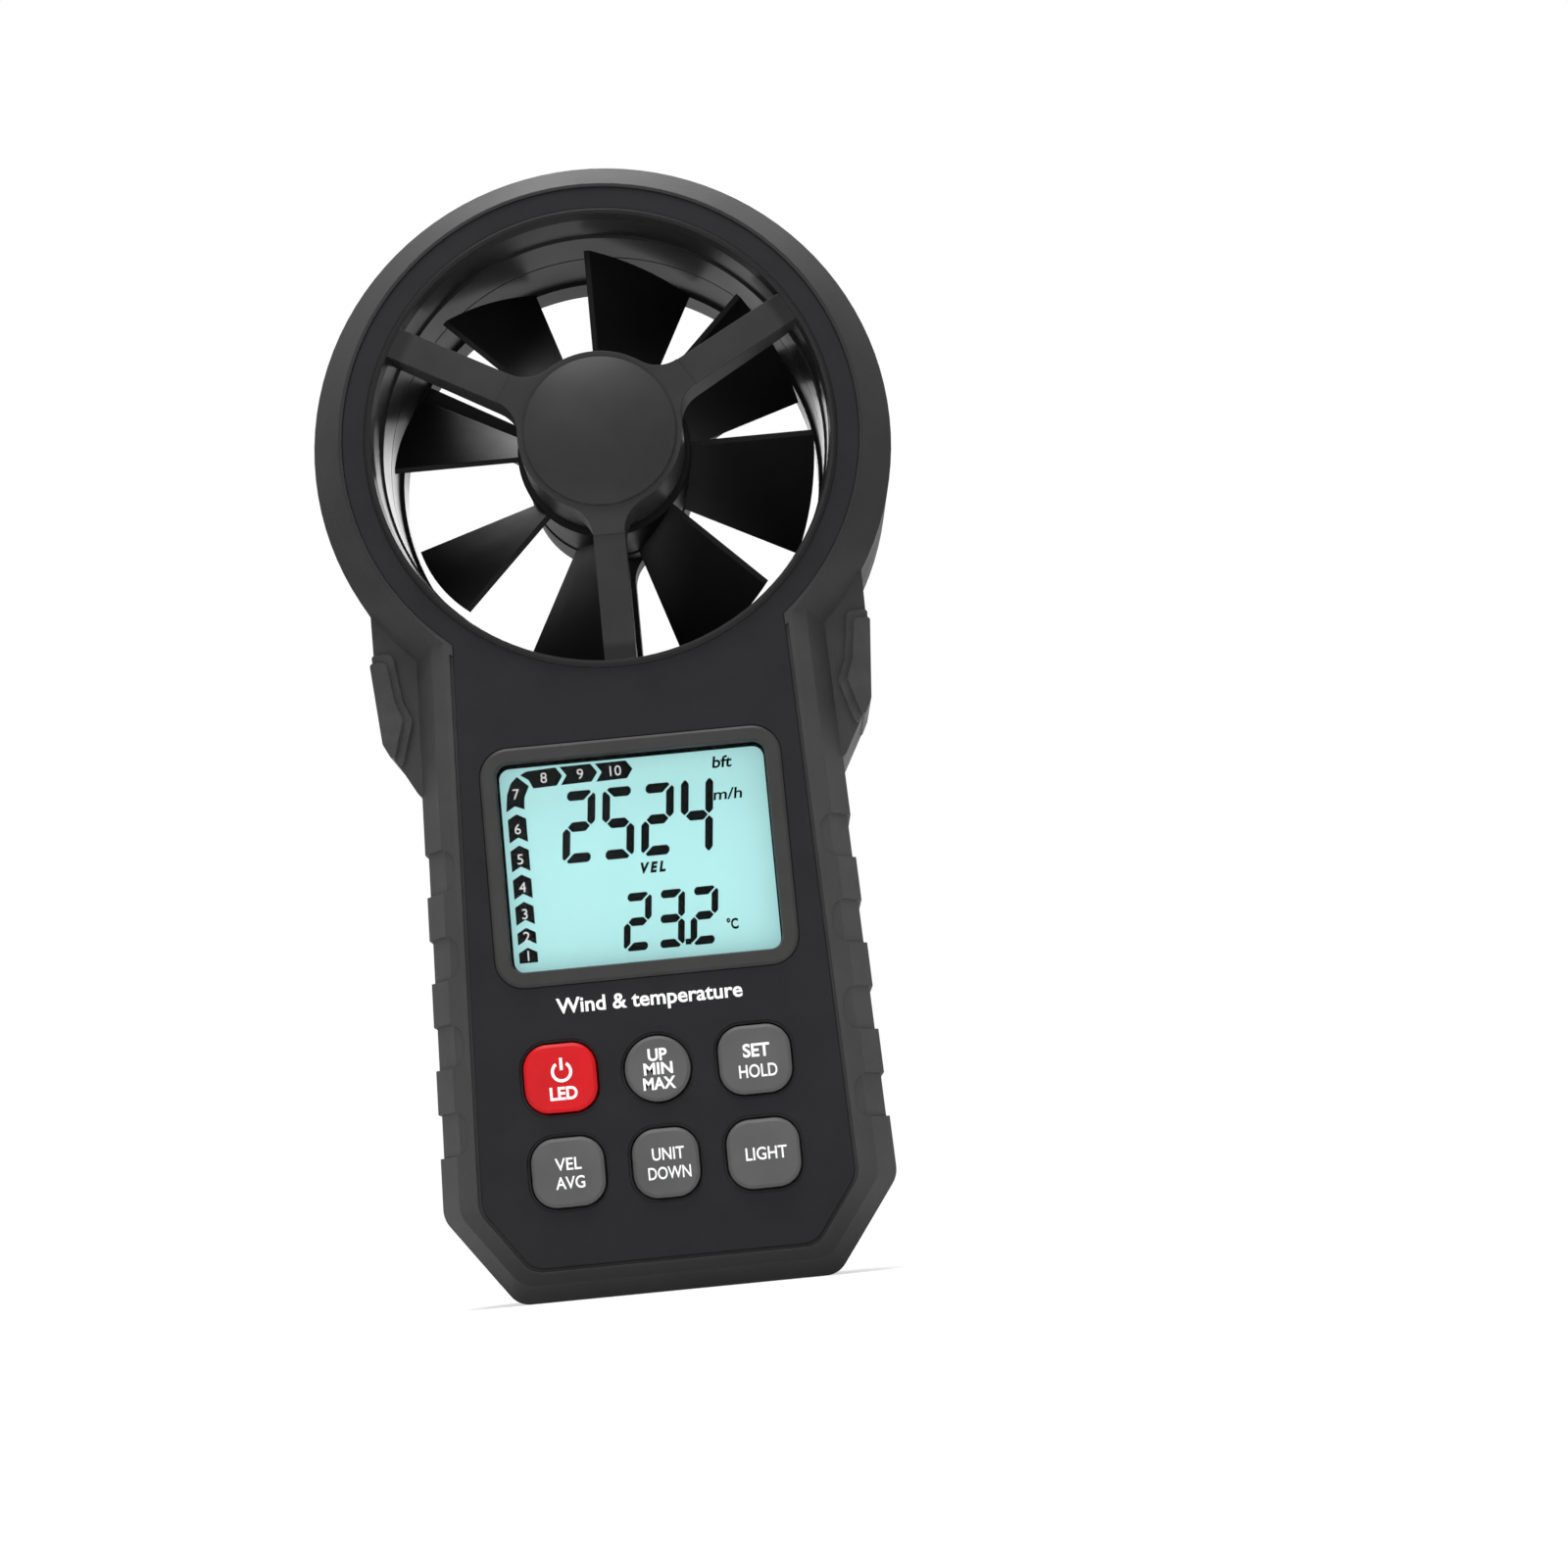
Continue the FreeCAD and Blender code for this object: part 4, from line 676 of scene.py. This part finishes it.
def draw_display():
    """Readings, units and the force scale, on the front of the display's glass."""
    y = front_of("display_glass")
    numeral_height = 1.45
    add_flat("display_digits", reading_plates(), y, "display_ink", "housing")
    # A dark plate of painted shadow just inside the bezel.
    add_flat("display_mask", painted_shadow_plates(), y, "display_ink", "housing")
    add_flat("display_units", unit_plates(), y, "display_ink", "housing")
    arrows, marks = scale_arrows()
    add_flat("display_scale", arrows, y, "display_ink", "housing")
    numerals = [words_plate(words, x, z, numeral_height) for words, x, z in marks]
    add_flat("display_numerals", numerals, y - 2 * INK * MM, "print_white", "housing")


# ---------------------------------------------------------------- printed legends
def power_symbol(x, z, radius, line):
    """Ring that is open at the top, with a bar through the opening."""
    opening = math.radians(34)
    steps = 28
    bar_middle, bar_length = radius * 0.72, radius * 1.15
    angles = [opening + (2 * math.pi - 2 * opening) * i / steps for i in range(steps + 1)]
    outer = [(x + radius * math.sin(a), z + radius * math.cos(a)) for a in reversed(angles)]
    inner = [(x + (radius - line) * math.sin(a), z + (radius - line) * math.cos(a)) for a in angles]
    return [plate(outer + inner), block(x, z + bar_middle, line, bar_length)]


# Words on each key: (text, right of the key's centre, above it, height, width, bold).
LEGENDS = {
    "power_key": [("LED", 0.33, -2.2, 1.7, 3.9, 0.03)],
    "minmax_key": [("UP", 0.12, 1.95, 1.6, 2.7, 0.028), ("MIN", 0.08, 0.0, 1.55, 4.1, 0.028),
                   ("MAX", 0.1, -2.1, 1.6, 4.6, 0.028)],
    "hold_key": [("SET", 0.28, 1.25, 1.75, 3.8, 0.028), ("HOLD", 0.32, -1.65, 1.75, 5.4, 0.012)],
    "velocity_key": [("VEL", 0.1, 1.15, 1.65, 3.7, 0.012), ("AVG", 0.2, -1.45, 1.65, 4.1, 0.012)],
    "unit_key": [("UNIT", 0.4, 1.25, 1.65, 4.5, 0.012), ("DOWN", 0.4, -1.4, 1.65, 6.0, 0.012)],
    "light_key": [("LIGHT", 0.35, 0.0, 1.7, 5.8, 0.012)],
}


def draw_legends():
    """White print on the keys, and the title line under the display."""
    for node, lines in LEGENDS.items():
        centre = middle(node) / MM
        plates = [words_plate(words, centre.x + x, centre.z + z, height, width, 0.0, bold)
                  for words, x, z, height, width, bold in lines]
        if node == "power_key":
            symbol_x, symbol_z = centre.x + 0.27, centre.z + 0.85
            plates += power_symbol(symbol_x, symbol_z, radius=1.5, line=0.42)
        add_flat(node.replace("_key", "_legend"), plates, front_of(node), "print_white", KEYS[node])
    title_x, title_z = -0.3, bezel_low.z / MM - 3.0
    title_height, title_width, title_bold = 2.05, 26.4, 0.02
    title = [words_plate("Wind & temperature", title_x, title_z, title_height, title_width,
                         bold=title_bold)]
    add_flat("title_legend", title, front_of("front_panel"), "print_white", "housing")


def draw_door_label():
    """Generic loading diagram: three cells with their poles, and their size."""
    low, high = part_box("door_label")
    mid_z = (low.z + high.z) / 2 / MM
    y = high.y
    length, width, line, pitch = 15.0, 6.0, 0.3, 9.0
    nub_width, nub_height = 2.0, 0.8
    sign_offset, sign_size, sign_line, sign_arm = 5.0, 2.2, 0.4, 0.9
    cells_above, words_below, words_height, words_width, words_bold = 3.0, 10.0, 2.2, 20.0, 0.01
    plates = []
    for i in range(3):
        x, z = (i - 1) * pitch, mid_z + cells_above
        for side in (-1, 1):
            plates.append(block(x + side * width / 2, z, line, length + line))
            plates.append(block(x, z + side * length / 2, width - line, line))
        up = 1 if i % 2 == 0 else -1
        nub_z = z + up * (length + line + nub_height) / 2
        plates.append(block(x, nub_z, nub_width, nub_height))
        plus_z, minus_z = z + up * sign_offset, z - up * sign_offset
        plates.append(block(x, plus_z, sign_size, sign_line))
        arm_offset = (sign_arm + sign_line) / 2
        plates += [block(x, plus_z + side * arm_offset, sign_line, sign_arm) for side in (-1, 1)]
        plates.append(block(x, minus_z, sign_size, sign_line))
    plates.append(words_plate("3 x 1.5 V  AAA", 0.0, mid_z - words_below, words_height,
                              words_width, bold=words_bold))
    add_flat("door_print", plates, y, "display_ink", "door", behind=True)


materials = make_materials()
cap_height = max(p[1] for p in glyphs("H", 0.0)[0])


def dress_cad_nodes():
    """Gives each CAD node the material of its slot."""
    for entry in frame["record"]["subparts"]:
        node = nodes[entry["node"]]
        node.data.materials.clear()
        node.data.materials.append(materials[entry["material_slot"]])
    reversed_cell = nodes["battery_2"].data.materials
    reversed_cell[0] = sleeve("cell_sleeve_reversed", *cell_poles("battery_2", False))


dress_cad_nodes()
draw_display()
draw_legends()
draw_door_label()


# ---------------------------------------------------------------- camera, lights, floor
def aim_camera():
    """Camera at the photograph's angle: near the floor, looking slightly up, and rolled."""
    pitch, yaw, roll = math.radians(8.53), math.radians(0.83), math.radians(-5.61)
    distance = 0.42476
    target = Vector((0.02169, -0.0101, 0.07044))
    forward = Vector((math.sin(yaw) * math.cos(pitch), math.cos(yaw) * math.cos(pitch),
                      math.sin(pitch)))
    level_up = Vector((-math.sin(yaw) * math.sin(pitch), -math.cos(yaw) * math.sin(pitch),
                       math.cos(pitch)))
    level_right = forward.cross(level_up)
    right = math.cos(roll) * level_right + math.sin(roll) * level_up
    up = -math.sin(roll) * level_right + math.cos(roll) * level_up
    data = bpy.data.cameras.new("camera")
    data.sensor_width = 36.0
    data.lens = 67.37
    data.clip_start = 0.001
    camera = bpy.data.objects.new("camera", data)
    bpy.context.scene.collection.objects.link(camera)
    turn = Matrix((right, up, -forward)).transposed().to_4x4()
    camera.matrix_world = Matrix.Translation(target - distance * forward) @ turn
    bpy.context.scene.camera = camera


def add_lamp(name, place, size, power):
    """Square area lamp that points at the object's middle."""
    data = bpy.data.lights.new(name, "AREA")
    data.shape = "SQUARE"
    data.size = size
    data.energy = power
    lamp = bpy.data.objects.new(name, data)
    bpy.context.scene.collection.objects.link(lamp)
    aim = (cad_low + cad_high) / 2
    lamp.matrix_world = Matrix.Translation(place) @ (
        aim - Vector(place)).to_track_quat("-Z", "Y").to_matrix().to_4x4()


def seen_directly(tree):
    """1 for camera, glossy and transmission rays, and 0 for the rays that light the object."""
    path = tree.nodes.new("ShaderNodeLightPath")
    total = path.outputs["Is Camera Ray"]
    for ray in ("Is Glossy Ray", "Is Transmission Ray"):
        either = tree.nodes.new("ShaderNodeMath")
        either.operation = "MAXIMUM"
        tree.links.new(total, either.inputs[0])
        tree.links.new(path.outputs[ray], either.inputs[1])
        total = either.outputs["Value"]
    return total


def light_studio():
    """Plain soft light: a pale world, a large lamp overhead and three weaker ones."""
    fill_light, white = 0.38, 1.0
    lamps = (
        ("overhead_lamp", (-0.05, -0.09, 0.75), 0.45, 9.0),
        ("front_lamp", (-0.25, -0.65, 0.35), 0.5, 1.1),
        ("side_lamp", (0.55, -0.35, 0.25), 0.4, 0.5),
        ("back_lamp", (0.1, 0.6, 0.5), 0.5, 2.5),
    )
    world = bpy.data.worlds.new("studio")
    bpy.context.scene.world = world
    world.use_nodes = True
    tree = world.node_tree
    strength = tree.nodes.new("ShaderNodeMapRange")
    strength.inputs["To Min"].default_value = fill_light
    strength.inputs["To Max"].default_value = white
    tree.links.new(seen_directly(tree), strength.inputs["Value"])
    background = tree.nodes["Background"]
    background.inputs["Color"].default_value = (1.0, 1.0, 1.0, 1.0)
    tree.links.new(strength.outputs["Result"], background.inputs["Strength"])
    for name, place, size, power in lamps:
        add_lamp(name, place, size, power)


def add_floor():
    """Pale floor that shows as white, keeps the object's shadow and fades into the backdrop."""
    mesh = bpy.data.meshes.new("floor")
    reach = 3.0
    mesh.from_pydata([(-reach, -reach, 0), (reach, -reach, 0), (reach, reach, 0), (-reach, reach, 0)],
                     [], [[0, 1, 2, 3]])
    floor = bpy.data.objects.new("floor", mesh)
    bpy.context.scene.collection.objects.link(floor)
    pale, shadowed, dark = (0.9,) * 3, (0.40,) * 3, (0.0,) * 3
    near_lift, far_lift = 0.60, 1.0
    fade_start, fade_end = 0.1, 0.4
    g = Graph("floor_pale", pale, 0.9)
    g.set(Specular_IOR_Level=0.1)
    away = g.add("ShaderNodeVectorMath", operation="LENGTH")
    g.link(g.place, away.inputs[0])
    seen = seen_directly(g.tree)
    far = g.scaled(away.outputs["Value"], 0.0, 1.0, fade_start, fade_end)
    g.colour(g.mixed(seen, pale, g.mixed(far, shadowed, dark)))
    lift = g.add("ShaderNodeMath", operation="MULTIPLY")
    g.link(g.scaled(far, near_lift, far_lift), lift.inputs[0])
    g.link(seen, lift.inputs[1])
    g.shader.inputs["Emission Color"].default_value = (1.0, 1.0, 1.0, 1.0)
    g.link(lift.outputs["Value"], g.shader.inputs["Emission Strength"])
    floor.data.materials.append(g.material)


aim_camera()
light_studio()
add_floor()
bpy.context.scene.view_settings.view_transform = "Standard"
